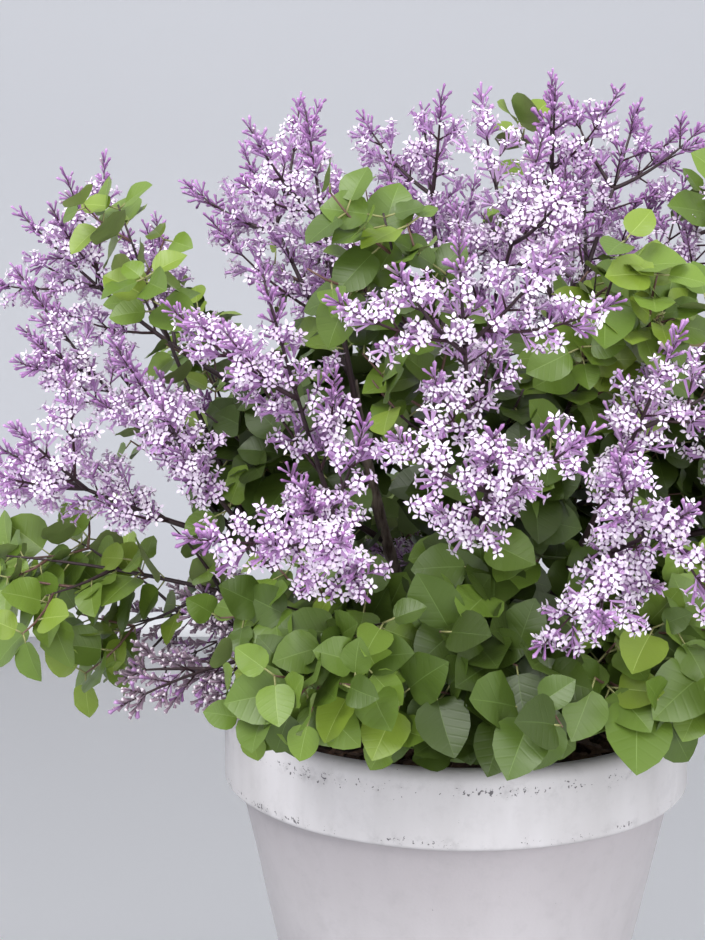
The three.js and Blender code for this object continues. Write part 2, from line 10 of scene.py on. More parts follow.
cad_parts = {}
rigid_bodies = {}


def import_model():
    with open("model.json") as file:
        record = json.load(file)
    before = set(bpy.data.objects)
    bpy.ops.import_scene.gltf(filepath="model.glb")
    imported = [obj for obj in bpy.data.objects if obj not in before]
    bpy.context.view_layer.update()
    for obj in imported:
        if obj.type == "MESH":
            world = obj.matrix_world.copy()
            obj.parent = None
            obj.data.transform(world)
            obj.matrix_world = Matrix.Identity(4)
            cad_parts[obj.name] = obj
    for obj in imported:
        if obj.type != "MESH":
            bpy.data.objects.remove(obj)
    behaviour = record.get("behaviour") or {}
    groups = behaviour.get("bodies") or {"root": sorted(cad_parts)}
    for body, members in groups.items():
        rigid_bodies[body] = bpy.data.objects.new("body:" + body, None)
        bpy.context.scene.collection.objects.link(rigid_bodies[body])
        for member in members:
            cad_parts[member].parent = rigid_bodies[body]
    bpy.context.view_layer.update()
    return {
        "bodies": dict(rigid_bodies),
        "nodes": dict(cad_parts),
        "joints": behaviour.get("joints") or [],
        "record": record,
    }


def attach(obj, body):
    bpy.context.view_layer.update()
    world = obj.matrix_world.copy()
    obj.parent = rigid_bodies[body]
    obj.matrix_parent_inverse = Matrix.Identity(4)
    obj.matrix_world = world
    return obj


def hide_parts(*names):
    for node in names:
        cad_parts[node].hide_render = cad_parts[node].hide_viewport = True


# A dwarf lilac in full bloom in a whitewashed clay pot. Sizes are in mm and angles in degrees where
# no comment names another unit, and MM turns mm to metres.
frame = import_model()
MM = 0.001

# Camera ---------------------------------------------------------------------
# At the height of the crown's middle, close in front of the bush and a little left of the pot, in
# metres and degrees.
EYE = (-0.062, -0.833, 0.476)
TILT_DOWN = 5.73
LENS = 53.16  # mm

camera = bpy.data.objects.new("camera", bpy.data.cameras.new("camera"))
camera.data.lens = LENS
camera.location = EYE
camera.rotation_euler = (math.radians(90 - TILT_DOWN), 0, 0)
bpy.context.scene.collection.objects.link(camera)
bpy.context.scene.camera = camera

# Pot ------------------------------------------------------------------------
# A tapered pot of fired clay with a thick collar, thrown on a wheel and then brushed with lime
# wash. The wash is worn to grey flecks where the collar's two edges are handled.
POT_HEIGHT = 250
RIM_RADIUS = 140
BAND_HEIGHT = 42
COLLAR_STEP = 9
BASE_RADIUS = 86
WALL = 12
FLOOR = 14
BAND_FOOT = POT_HEIGHT - BAND_HEIGHT
BODY_TOP_RADIUS = RIM_RADIUS - COLLAR_STEP
POT_STEPS = 96
POT_RINGS = 8  # mm from ring to ring
CORNER_CUTS = 5
HAND_WOBBLE = 0.5  # mm that the thrown wall strays from true
WOBBLE_ACROSS = 50  # mm from one bulge to the next
TRUE_FOOT = (20, 4)  # mm from the axis and above the ground, within which nothing strays
ON_CORNER = 1e-5  # m
WASH_CLOUDS, WASH_GRAIN = 45, 1.8  # mm across
WORN_PATCHES, SMUDGES, FLECKS = 35, 12, 2.1  # mm across
BODY_TINT_AND_COLLAR_SHADE = (60, 2)  # mm below the collar where the body's pinkish grey starts to deepen into painted shade, and where that painted shade under the collar is darkest
WORN_EDGES = ((POT_HEIGHT - 10, 7.5), (BAND_FOOT + 4, 5.5))  # height of the middle and half width


def pot_inside(height):
    """The inside radius: even with the tapered body, widening to the mouth behind the collar."""
    body = BASE_RADIUS + (BODY_TOP_RADIUS - BASE_RADIUS) * min(height, BAND_FOOT) / BAND_FOOT - WALL
    return body + (RIM_RADIUS - BODY_TOP_RADIUS) * max(0, (height - BAND_FOOT) / BAND_HEIGHT)


POT_CORNERS = [  # radius, height and rounding in mm, from the middle of the underside to the floor
    (BASE_RADIUS, 0, 3),
    (BODY_TOP_RADIUS, BAND_FOOT, 1.5),
    (RIM_RADIUS, BAND_FOOT, 2.5),
    (RIM_RADIUS, POT_HEIGHT, 7),
    (pot_inside(POT_HEIGHT), POT_HEIGHT, 3.5),
    (pot_inside(BAND_FOOT), BAND_FOOT, 0),
    (pot_inside(FLOOR), FLOOR, 8),
]


def turned(profile, steps):
    """A bmesh of a profile of radii and heights in mm, closed on the axis, turned about Z."""
    shape = bmesh.new()
    corners = [shape.verts.new((radius * MM, 0, height * MM)) for radius, height in profile]
    edges = [shape.edges.new(pair) for pair in zip(corners, corners[1:])]
    bmesh.ops.spin(
        shape, geom=corners + edges, cent=(0, 0, 0), axis=(0, 0, 1), angle=2 * math.pi,
        steps=steps, use_merge=True,
    )
    bmesh.ops.remove_doubles(shape, verts=shape.verts, dist=1e-6)
    bmesh.ops.recalc_face_normals(shape, faces=shape.faces)
    return shape


def placed(name, shape, materials, nodes=()):
    """Links a bmesh or mesh as a finished piece that rides with the pot."""
    mesh = shape
    if isinstance(shape, bmesh.types.BMesh):
        mesh = bpy.data.meshes.new(name)
        shape.to_mesh(mesh)
        shape.free()
    for material in materials:
        mesh.materials.append(material)
    piece = bpy.data.objects.new(name, mesh)
    bpy.context.scene.collection.objects.link(piece)
    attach(piece, "root")
    if nodes:
        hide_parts(*nodes)
    return piece


def linear(code):
    """The linear colour of an sRGB hex value."""
    parts = [int(code[i : i + 2], 16) / 255 for i in (1, 3, 5)]
    return [c / 12.92 if c <= 0.04045 else ((c + 0.055) / 1.055) ** 2.4 for c in parts] + [1.0]


def surface(name, **sockets):
    """A material with its shader's own sockets set, each name's underscores read as spaces."""
    material = bpy.data.materials.new(name)
    material.use_nodes = True
    shader = material.node_tree.nodes["Principled BSDF"]
    for socket, value in sockets.items():
        shader.inputs[socket.replace("_", " ")].default_value = value
    return material, shader


def add(material, kind, inputs, output=0, **settings):
    """Adds a node with its settings and gives one of its outputs. Each input takes a value, or a
    link from another node's output."""
    node = material.node_tree.nodes.new("ShaderNode" + kind)
    for name, value in settings.items():
        setattr(node, name, value)
    for socket, value in inputs.items():
        if isinstance(value, bpy.types.NodeSocket):
            material.node_tree.links.new(value, node.inputs[socket])
        else:
            node.inputs[socket].default_value = value
    return node.outputs[output]


def whitewash():
    """Lime wash brushed on fired clay: chalky and matt, with a faint cloudy tone, a pinkish grey
    tinge on the body that deepens under the collar as painted shade, and dark grey flecks that gather
    along the collar's edges."""
    material, shader = surface("lime_wash_brushed_on_fired_clay", Roughness=0.5, IOR=1.5)
    place = add(material, "TexCoord", {}, "Object")
    height = add(material, "SeparateXYZ", {0: place}, 2)
    streaks = add(material, "Mapping", {0: place, "Scale": (1, 1, 0.25)})
    scale = 1 / (WASH_CLOUDS * MM)
    clouds = add(material, "TexNoise", {0: streaks, "Scale": scale, "Detail": 4, "Roughness": 0.55})
    scale = 1 / (SMUDGES * MM)
    smudges = add(material, "TexNoise", {0: place, "Scale": scale, "Detail": 5, "Roughness": 0.7})
    scale = 1 / (FLECKS * MM)
    flecks = add(material, "TexNoise", {0: place, "Scale": scale, "Detail": 2, "Roughness": 0.6})
    patches = add(material, "TexNoise", {0: place, "Scale": 1 / (WORN_PATCHES * MM), "Detail": 1})
    tone = add(material, "MapRange", {0: clouds, 1: 0.35, 2: 0.65})
    colours = {6: linear("#c2bfc0"), 7: linear("#d3d0d2")}
    wash = add(material, "Mix", {0: tone, **colours}, 2, data_type="RGBA")
    # Painted shade: the body's own pinkish grey deepens towards the collar's foot and is darkest just
    # under the collar, where its shade falls.
    low, high = ((BAND_FOOT - below) * MM for below in BODY_TINT_AND_COLLAR_SHADE)
    thin = add(material, "MapRange", {0: height, 1: low, 2: high, 3: 0.55})
    on_body = add(material, "Math", {0: height, 1: BAND_FOOT * MM}, operation="LESS_THAN")
    thin = add(material, "Math", {0: thin, 1: on_body}, operation="MULTIPLY")
    thin = add(material, "Math", {0: thin, 1: 0.9}, operation="MULTIPLY")
    wash = add(material, "Mix", {0: thin, 6: wash, 7: linear("#aea8ab")}, 2, data_type="RGBA")
    worn = 0.0
    for middle, reach in WORN_EDGES:
        away = add(material, "Math", {0: height, 1: middle * MM}, operation="SUBTRACT")
        away = add(material, "Math", {0: away}, operation="ABSOLUTE")
        span = {1: 0.0, 2: reach * MM, 3: 1.0, 4: 0.0}
        near = add(material, "MapRange", {0: away, **span}, interpolation_type="SMOOTHSTEP")
        worn = add(material, "Math", {0: near, 1: worn}, operation="ADD")
    broken = add(material, "MapRange", {0: patches, 1: 0.38, 2: 0.62})
    worn = add(material, "Math", {0: worn, 1: broken}, operation="MULTIPLY")
    smudged = add(material, "MapRange", {0: smudges, 1: 0.5, 2: 0.72})
    smear = add(material, "Math", {0: worn, 1: 0.5, 2: 0.14}, operation="MULTIPLY_ADD")
    smear = add(material, "Math", {0: smear, 1: smudged}, operation="MULTIPLY")
    wash = add(material, "Mix", {0: smear, 6: wash, 7: linear("#8c898b")}, 2, data_type="RGBA")
    bar = add(material, "Math", {0: worn, 1: -0.2, 2: 0.755}, operation="MULTIPLY_ADD")
    over = add(material, "Math", {0: flecks, 1: bar}, operation="SUBTRACT")
    dark = add(material, "MapRange", {0: over, 1: 0.0, 2: 0.05})
    wash = add(material, "Mix", {0: dark, 6: wash, 7: linear("#615d61")}, 2, data_type="RGBA")
    grain = add(material, "TexNoise", {0: place, "Scale": 1 / (WASH_GRAIN * MM), "Detail": 3})
    relief = add(material, "Math", {0: clouds, 1: 3.0, 2: grain}, operation="MULTIPLY_ADD")
    bump = add(material, "Bump", {"Height": relief, "Strength": 0.35, "Distance": 0.25 * MM})
    material.node_tree.links.new(wash, shader.inputs["Base Color"])
    material.node_tree.links.new(bump, shader.inputs["Normal"])
    return material


def on_corner(edge, radius, height):
    """Whether an edge of the turned pot lies on a corner of its profile."""
    return all(
        abs(math.hypot(vert.co.x, vert.co.y) - radius * MM) < ON_CORNER
        and abs(vert.co.z - height * MM) < ON_CORNER
        for vert in edge.verts
    )


profile = [(0, 0)] + [corner[:2] for corner in POT_CORNERS] + [(0, FLOOR)]
pot = turned(profile, POT_STEPS)
for radius, height, rounding in POT_CORNERS:
    ring = [edge for edge in pot.edges if on_corner(edge, radius, height)]
    if rounding:
        bmesh.ops.bevel(
            pot, geom=ring, offset=rounding * MM, offset_type="OFFSET", segments=CORNER_CUTS,
            profile=0.5, affect="EDGES", material=-1,
        )
for height in range(POT_RINGS // 2, POT_HEIGHT, POT_RINGS):
    geometry = pot.verts[:] + pot.edges[:] + pot.faces[:]
    level = (0, 0, height * MM)
    bmesh.ops.bisect_plane(pot, geom=geometry, dist=1e-5, plane_co=level, plane_no=(0, 0, 1))
for vert in pot.verts:
    side = Vector((vert.co.x, vert.co.y, 0))
    stray = noise.noise(vert.co / (WOBBLE_ACROSS * MM)) * HAND_WOBBLE * MM
    if side.length > TRUE_FOOT[0] * MM and vert.co.z > TRUE_FOOT[1] * MM:
        vert.co += side.normalized() * stray
for face in pot.faces:
    face.smooth = True
placed("whitewashed_pot", pot, [whitewash()], ["pot"])

# Soil -----------------------------------------------------------------------
# A moist potting mix of peat and composted bark, filled in to two fingers below the rim, with
# chips of bark lying loose on top.
SOIL_BELOW_RIM = 20
SOIL_TOP = POT_HEIGHT - SOIL_BELOW_RIM
SOIL_FROM_WALL = 0.6
SOIL_LEVELS = (FLOOR + 0.4, 120, BAND_FOOT, SOIL_TOP)  # of the rings on its side
SOIL_STEPS = 90
SOIL_RINGS = 24  # from the wall to the middle of the top
SOIL_RELIEF = 3.5  # mm
SOIL_LUMPS = 12  # mm across
SOIL_SUNK = 0.3  # how much of the relief lies below the level of the top
SOIL_CRUMBS, CHIP_FIBRES = 4, 6  # mm across
CHIPS = 420
CHIP_LENGTH = (5, 15)
CHIP_WIDTH = (0.35, 0.6)  # over its length
CHIP_THICKNESS = (0.12, 0.25)  # over its length
CHIP_RAGGED = 0.09  # over its length
CHIP_TILT = 0.3
CHIPS_FROM_WALL = 9
CHIPS_LIE_UP_TO = 2.5  # mm above the soil


def potting_mix(name, light, dark, grain):
    """Damp peat and bark: almost black in its hollows, reddish brown on dry fibres, and dull."""
    material, shader = surface(name, Roughness=0.9, IOR=1.4)
    place = add(material, "TexCoord", {}, "Object")
    scale = 1 / (grain * MM)
    crumbs = add(material, "TexNoise", {0: place, "Scale": scale, "Detail": 6, "Roughness": 0.7})
    tone = add(material, "MapRange", {0: crumbs, 1: 0.35, 2: 0.7})
    colours = {6: linear(dark), 7: linear(light)}
    colour = add(material, "Mix", {0: tone, **colours}, 2, data_type="RGBA")
    bump = add(material, "Bump", {"Height": crumbs, "Strength": 0.8, "Distance": 1.5 * MM})
    material.node_tree.links.new(colour, shader.inputs["Base Color"])
    material.node_tree.links.new(bump, shader.inputs["Normal"])
    return material


profile = [(0, SOIL_LEVELS[0])]
profile += [(pot_inside(level) - SOIL_FROM_WALL, level) for level in SOIL_LEVELS]
rings = range(SOIL_RINGS - 1, -1, -1)
profile += [(pot_inside(SOIL_TOP) * ring / SOIL_RINGS, SOIL_TOP) for ring in rings]
soil = turned(profile, SOIL_STEPS)
for vert in soil.verts:
    if vert.co.z > (SOIL_TOP - 1) * MM:
        lumps = noise.fractal(vert.co / (SOIL_LUMPS * MM), 0.8, 2.0, 4)
        vert.co.z += (lumps - SOIL_SUNK) * SOIL_RELIEF * MM
for face in soil.faces:
    face.smooth = True
mix = potting_mix("moist_peat_and_bark_mix", "#4a372b", "#1d1512", SOIL_CRUMBS)
placed("potting_soil", soil, [mix], ["soil"])

chance = np.random.default_rng(41)
chips = bmesh.new()
for _ in range(CHIPS):
    turn = chance.uniform(0, 2 * math.pi)
    out = (pot_inside(SOIL_TOP) - CHIPS_FROM_WALL) * math.sqrt(chance.uniform(0.04, 1))
    long = chance.uniform(*CHIP_LENGTH)
    up = SOIL_TOP + chance.uniform(0, CHIPS_LIE_UP_TO)
    place = Vector((out * math.cos(turn), out * math.sin(turn), up)) * MM
    lie = Matrix.Rotation(chance.uniform(0, math.pi), 4, "Z")
    for axis in "XY":
        lie = lie @ Matrix.Rotation(chance.normal(0, CHIP_TILT), 4, axis)
    wide, thick = long * chance.uniform(*CHIP_WIDTH), long * chance.uniform(*CHIP_THICKNESS)
    form = Matrix.Translation(place) @ lie @ Matrix.Diagonal((long * MM, wide * MM, thick * MM, 1))
    for vert in bmesh.ops.create_cube(chips, size=1, matrix=form)["verts"]:
        vert.co += Vector(chance.normal(0, CHIP_RAGGED * long * MM, 3))
bark_chip = potting_mix("composted_bark_chips", "#6d5443", "#33251d", CHIP_FIBRES)
placed("bark_chips", chips, [bark_chip])

# Stem foot and boughs -------------------------------------------------------
# The short woody stool of the bush and the limbs that rise from it: grey-brown bark, smooth, with
# fine lengthwise ridges and a slight swelling at each old leaf joint.
FOOT_HEIGHT = 44
FOOT_RADIUS = 21
FOOT_FLARE = 12
FOOT_TAPER = 0.12
FOOT_LEAN = (-2, 2)
FOOT_SUNK = 2  # mm below the level of the soil
FOOT_RINGS, FOOT_SIDES = 28, 36
SEAT_RADIUS = 13
KNEE_ALONG = 0.45  # where a bough bends, over the way from its foot to its tip
KNEE_OUT = 0.07  # over its reach
BOUGH_TAPER = 0.48
BOUGH_RINGS, BOUGH_SIDES = 46, 14
BARK_RELIEF = 0.5  # mm on the boughs, three times that on the foot
BARK_RIDGES = (9, 3)  # mm across, on the foot and on the boughs
BARK_GRAIN = 4  # mm across
JOINTS_APART = 26  # mm between swellings
JOINT_SWELL = 0.13
JOINT_LENGTH = 2.2
CROWN_BASE = np.array([0.0, 0.0, POT_HEIGHT + 20])
UP = np.array([0.0, 0.0, 1.0])

BOUGHS = {  # azimuth, elevation and reach of the tip, height above the soil at the foot, radius
    "left": (192, 33, 150, 20, 4.6),
    "left_back": (158, 52, 205, 30, 4.4),
    "upper_left": (205, 69, 190, 34, 4.6),
    "front_left": (238, 30, 135, 22, 4.2),
    "front": (272, 44, 150, 25, 4.4),
    "front_right": (300, 36, 140, 19, 4.4),
    "top": (258, 80, 190, 35, 4.6),
    "top_right": (350, 73, 200, 33, 4.8),
    "right": (347, 33, 160, 21, 4.6),
    "back_right": (42, 46, 165, 27, 4.4),
    "back": (92, 48, 160, 24, 4.4),
    "back_left": (138, 34, 145, 18, 4.2),
}


def unit(vector):
    return vector / np.linalg.norm(vector)


def aim(azimuth, elevation):
    turn, rise = math.radians(azimuth), math.radians(elevation)
    flat = math.cos(rise)
    return np.array([math.cos(turn) * flat, math.sin(turn) * flat, math.sin(rise)])


def at_reach(azimuth, elevation, reach):
    return aim(azimuth, elevation) * reach + CROWN_BASE


# A limb's path is three points: where it starts, the one it bends towards, and its tip.
def point_on(path, t):
    return (1 - t) ** 2 * path[0] + 2 * (1 - t) * t * path[1] + t * t * path[2]


def heading(path, t):
    return unit((1 - t) * (path[1] - path[0]) + t * (path[2] - path[1]))


def length_of(path):
    steps = np.linspace(0, 1, 41)[:, None]
    return np.linalg.norm(np.diff(point_on(path, steps), axis=0), axis=1).sum()


def bough_path(name):
    azimuth, elevation, reach, above_soil, _ = BOUGHS[name]
    start = aim(azimuth, 0) * SEAT_RADIUS + UP * (SOIL_TOP + above_soil)
    tip = at_reach(azimuth, elevation, reach)
    knee = start + KNEE_ALONG * (tip - start) + aim(azimuth, 0) * KNEE_OUT * reach
    return np.array([start, knee, tip])


def bough_radius(name, t):
    return BOUGHS[name][4] * (1 - BOUGH_TAPER * t)


def swept(name, tracks, sides):
    """One mesh of closed round limbs. Each track is its points in mm and the radius at each."""
    curve = bpy.data.curves.new(name, "CURVE")
    curve.dimensions = "3D"
    curve.bevel_depth = MM
    curve.bevel_resolution = sides // 2 - 2
    curve.use_fill_caps = True
    for points, radii in tracks:
        spline = curve.splines.new("POLY")
        spline.points.add(len(points) - 1)
        spline.points.foreach_set("co", np.c_[np.array(points) * MM, np.ones(len(points))].ravel())
        spline.points.foreach_set("radius", np.array(radii, float))
    holder = bpy.data.objects.new(name, curve)
    shape = bmesh.new()
    shape.from_mesh(bpy.data.meshes.new_from_object(holder))
    bpy.data.objects.remove(holder)
    bmesh.ops.remove_doubles(shape, verts=shape.verts, dist=1e-7)
    for face in shape.faces:
        face.smooth = True
    return shape


def bark():
    """Young lilac bark: smooth and dull, brown with a grey skin that splits along the limb."""
    material, shader = surface("smooth_young_bark", Roughness=0.75, IOR=1.45)
    place = add(material, "TexCoord", {}, "Object")
    along = add(material, "Mapping", {0: place, "Scale": (1, 1, 0.2)})
    scale = 1 / (BARK_GRAIN * MM)
    skin = add(material, "TexNoise", {0: along, "Scale": scale, "Detail": 5, "Roughness": 0.65})
    tone = add(material, "MapRange", {0: skin, 1: 0.38, 2: 0.62})
    colours = {6: linear("#3f3029"), 7: linear("#84776b")}
    colour = add(material, "Mix", {0: tone, **colours}, 2, data_type="RGBA")
    bump = add(material, "Bump", {"Height": skin, "Strength": 0.6, "Distance": 0.5 * MM})
    material.node_tree.links.new(colour, shader.inputs["Base Color"])
    material.node_tree.links.new(bump, shader.inputs["Normal"])
    return material


def with_relief(shape, depth, grain):
    """Pushes a limb's skin in and out in ridges along it, so many mm deep and across."""
    shape.normal_update()
    for vert in shape.verts:
        drawn_out = Vector((vert.co.x, vert.co.y, vert.co.z * 0.25))
        ridge = noise.fractal(drawn_out / (grain * MM), 0.7, 2.0, 3)
        vert.co += vert.normal * ridge * depth * MM
    return shape


BARK = bark()
foot_points, foot_radii = [], []
for t in np.linspace(0, 1, FOOT_RINGS):
    up = SOIL_TOP - FOOT_SUNK + (FOOT_HEIGHT + FOOT_SUNK) * t
    drawn_in = 0.82 if t > 0.96 else 1
    foot_points.append((FOOT_LEAN[0] * t * t, FOOT_LEAN[1] * t * t, up))
    foot_radii.append(drawn_in * FOOT_RADIUS * (1 - FOOT_TAPER * t) + FOOT_FLARE * (1 - t) ** 3)
foot = swept("stem_foot_bark", [(foot_points, foot_radii)], FOOT_SIDES)
foot = with_relief(foot, 3 * BARK_RELIEF, BARK_RIDGES[0])
placed("stem_foot_bark", foot, [BARK], ["stem_foot"])

limbs = []
for name in BOUGHS:
    path = bough_path(name)
    steps = np.linspace(0, 1, BOUGH_RINGS)
    from_joint = ((steps * length_of(path)) % JOINTS_APART) - JOINTS_APART / 2
    swell = 1 + JOINT_SWELL * np.exp(-((from_joint / JOINT_LENGTH) ** 2))
    radii = [bough_radius(name, t) * s for t, s in zip(steps, swell)]
    limbs.append(([point_on(path, t) for t in steps], radii))
boughs = with_relief(swept("bough_bark", limbs, BOUGH_SIDES), BARK_RELIEF, BARK_RIDGES[1])
placed("bough_bark", boughs, [BARK], ["bough_" + name for name in BOUGHS])

# Crown: how it grows --------------------------------------------------------
# Each mass of the crown is one stem on a bough with side shoots in opposite pairs, each pair a
# quarter turn round from the last. The shoots carry finer leafy twigs by the same rule, and a
# flowering shoot ends in a panicle. Every mass keeps to its own cell of the crown.
CELL_GAP = 1.5
LIMB_GAP = 2
POT_GAP = 2
SOIL_GAP = 4
HANGS_TO = (262, 236)  # mm, how low foliage hangs just outside the rim, and further out
FURTHER_OUT = 205
STEM_THICKNESS = 2.8  # mm that the other masses take a stem's radius to be
LIMB_BALLS = 31  # along a limb, to measure gaps from
BLOOM_BALLS = (0.2, 0.5, 0.8)  # along a panicle, where balls stand for its bloom
BLOOM_APART = 0.45
PANICLE_LENGTH = 92
PANICLE_RADIUS = 22
BLOOM_FROM = 0.28  # along a short shoot, the lowest that its bloom starts
FULL_SHOOT = 75  # mm, the shortest shoot that carries a panicle of full width
HEART = 0.66  # along its stem, the middle of a mass's cell
SHOOTS_FROM, SHOOTS_OVER = 0.34, 0.32  # along a stem
SHOOT_SWEEP = 0.22  # how far a shoot's tip is swept on along its stem, over its length
SHOOT_KNEE = 0.55  # where it starts to bend, over its length
SHOOT_SPREAD = (0.75, 0.25)  # radians from the stem: here and below, the least and how much more
SHOOT_LENGTH = (0.85, 0.3)  # over its mass's own
SHOOT_SHORTENS = 0.22  # from pair to pair
SHOOT_LIFT = 0.1
SHOOT_TRIES = [(1, 0), (0.85, 0.5), (0.85, -0.5), (0.68, 0), (0.68, 0.9)]  # length, turn on
SIDE_PANICLE_LENGTH = (46, 16)  # in a pair below the panicle at a shoot's end
SIDE_PANICLE_SPREAD = (0.62, 0.2)
SIDE_PANICLE_RADIUS = 15
SIDE_PANICLE_FROM = 0.3  # along its branch
SIDE_OVERTOPS = 6  # mm that it may reach beyond the panicle at the end
FINE_FROM = 0.12  # along a shoot, where its fine twigs start
FINE_LENGTH = (24, 20)
FINE_SPREAD = (0.65, 0.5)
FINE_TRIES = [1, 0.75, 0.5]
FINE_ROOM = 3
FINE_FROM_BLOOM = 12

# Bough and how far along it, azimuth, elevation and reach of the tip, sag, pairs of side shoots and
# their length, panicles; then leaf length in mm, leaf tone, bloom tone, how far up its panicles
# the flowers are open, and mm from pair to pair of its fine twigs.
Mass = namedtuple("Mass", """
    bough along azimuth elevation reach sag pairs side panicles
    leaf tone bloom open_to twigs_apart
""")
# The dark and deep leaf tones of the inner masses and the low front are painted shade, for the shaded
# hollow of the crown.
MASSES = {
    "far_left_top": ("left_back", 1, 173, 46, 386, 20, 2, 76, 5, 24, "fresh", "pale", 0.7, 48),
    "left_upper": ("left", 0.84, 184, 43, 352, 18, 2, 86, 5, 25, "fresh", "pale", 0.75, 48),
    "left_shoulder": ("left", 1, 195, 28, 300, 10, 2, 85, 5, 26, "mid", "pale", 0.85, 48),
    "left_front_shoulder": ("left", 0.68, 214, 42, 296, 16, 2, 80, 5, 26, "mid", "lilac", 0.85, 48),
    "left_leaves": ("left", 0.92, 197, 54, 340, 14, 2, 48, 0, 25, "fresh", "pale", 0.7, 95),
    "left_arc": ("left", 0.5, 188, 16, 276, -14, 2, 48, 0, 27, "fresh", "mauve", 0.3, 58),
    "low_left": ("left", 0.34, 204, 0, 208, -24, 2, 62, 5, 27, "mid", "mauve", 0.12, 90),
    "inner_left": ("upper_left", 0.5, 200, 46, 225, 6, 2, 62, 0, 29, "dark", "lilac", 0.6, 22),
    "low_left_back": ("back_left", 0.5, 170, 4, 226, -16, 2, 60, 3, 29, "mid", "mauve", 0.12, 90),
    "upper_left": ("upper_left", 1, 180, 68, 336, 12, 2, 80, 5, 24, "fresh", "lilac", 0.65, 48),
    "centre_left_top": ("upper_left", 0.82, 214, 72, 342, 12, 2, 74, 5, 24, "bronze", "pale", 0.65, 75),
    "front_left": ("front_left", 1, 248, 31, 262, 8, 2, 72, 5, 27, "mid", "lilac", 0.85, 75),
    "upper_front_left": ("front_left", 0.82, 236, 51, 300, 14, 2, 74, 5, 26, "mid", "lilac", 0.75, 75),
    "low_front_left": ("front_left", 0.62, 246, 16, 190, -14, 2, 58, 0, 29, "mid", "mauve", 0.3, 23),
    "front_leaves": ("front", 0.9, 252, 60, 304, 12, 2, 44, 0, 26, "mid", "white", 0.8, 38),
    "front_upper": ("front", 1, 266, 53, 308, 14, 2, 75, 5, 26, "mid", "white", 0.9, 75),
    "front_centre": ("front", 0.8, 270, 35, 280, 8, 2, 75, 5, 28, "mid", "white", 0.85, 42),
    "low_front": ("front", 0.45, 270, 17, 172, -12, 2, 60, 0, 32, "dark", "pale", 0.6, 17),
    "inner_front": ("top", 0.5, 282, 55, 215, 6, 2, 62, 0, 30, "dark", "pale", 0.6, 20),
    "front_right": ("front_right", 0.82, 296, 45, 290, 10, 2, 70, 5, 27, "mid", "white", 0.85, 42),
    "right_leaves": ("top_right", 0.55, 296, 57, 300, 10, 2, 54, 0, 27, "fresh", "pale", 0.7, 29),
    "right_lower": ("front_right", 1, 292, 28, 268, 6, 2, 78, 5, 28, "mid", "pale", 0.85, 42),
    "low_right": ("front_right", 0.5, 306, 15, 200, -14, 2, 60, 0, 32, "mid", "pale", 0.6, 19),
    "top_centre": ("top", 1, 205, 86, 334, 6, 2, 82, 5, 24, "fresh", "lilac", 0.7, 75),
    "upper_right_front": ("top", 0.8, 284, 66, 330, 12, 2, 75, 5, 25, "fresh", "white", 0.85, 75),
    "top_right_spire": ("top_right", 0.86, 325, 80, 352, 8, 2, 70, 3, 24, "fresh", "pale", 0.55, 48),
    "top_right": ("top_right", 1, 8, 72, 356, 10, 2, 80, 5, 24, "fresh", "buds", 0.25, 48),
    "right_leader": ("top_right", 0.7, 342, 62, 368, 14, 2, 70, 2, 27, "bronze", "buds", 0.4, 20),
    "inner_right": ("top_right", 0.5, 345, 44, 225, 6, 2, 62, 0, 29, "dark", "pale", 0.6, 22),
    "right_front": ("right", 0.75, 324, 43, 300, 14, 2, 78, 5, 27, "mid", "white", 0.85, 42),
    "far_right_top": ("right", 0.9, 3, 47, 380, 18, 2, 86, 5, 25, "fresh", "buds", 0.35, 48),
    "far_right": ("right", 1, 344, 26, 305, 8, 2, 82, 5, 26, "mid", "lilac", 0.8, 42),
    "right_arc": ("right", 0.5, 348, 8, 266, -20, 2, 66, 0, 31, "mid", "pale", 0.6, 24),
    "low_right_back": ("back_right", 0.45, 28, 6, 246, -18, 2, 66, 1, 31, "mid", "pale", 0.6, 26),
    "back_right": ("back_right", 1, 34, 36, 318, 14, 2, 85, 4, 27, "fresh", "lilac", 0.8, 36),
    "back_right_top": ("back_right", 0.8, 56, 62, 355, 14, 2, 80, 5, 25, "fresh", "pale", 0.75, 38),
    "inner_back": ("left_back", 0.6, 100, 62, 245, 6, 2, 62, 0, 30, "deep", "pale", 0.6, 24),
    "back_centre": ("back", 1, 84, 36, 314, 12, 2, 84, 5, 27, "mid", "lilac", 0.8, 34),
    "back_left_top": ("back", 0.8, 116, 62, 358, 14, 2, 80, 5, 25, "fresh", "pale", 0.75, 38),
    "low_back": ("back", 0.45, 96, 6, 240, -18, 2, 66, 1, 31, "mid", "pale", 0.6, 26),
    "back_left": ("back_left", 1, 132, 32, 310, 12, 2, 82, 4, 27, "mid", "lilac", 0.8, 36),
}
MASSES = {mass: Mass(*values) for mass, values in MASSES.items()}


def seeded_random(seed):
    """The same numbers between 0 and 1 each run: a linear congruential generator."""
    state = seed % 2**32
    while True:
        state = (state * 1664525 + 1013904223) % 2**32
        yield state / 2**32


def by_chance(least, more, random):
    """A value from the least up to so much more."""
    return least + more * next(random)


def pair_turn(start, i):
    """How far round its stem, in radians, the i-th part stands of those that grow in opposite
    pairs, each pair a quarter turn on from the last."""
    return start + (i // 2) * math.pi / 2 + (i % 2) * math.pi


def square_to(axis):
    """Two directions square to an axis, the first as level as it can be."""
    level = np.array([1.0, 0, 0]) if abs(axis[2]) > 0.999 else unit(np.cross(UP, axis))
    return level, np.cross(level, axis)


def branch_aim(axis, angle, turn):
    level, over = square_to(axis)
    aside = level * math.cos(turn) + over * math.sin(turn)
    return axis * math.cos(angle) + math.sin(angle) * aside


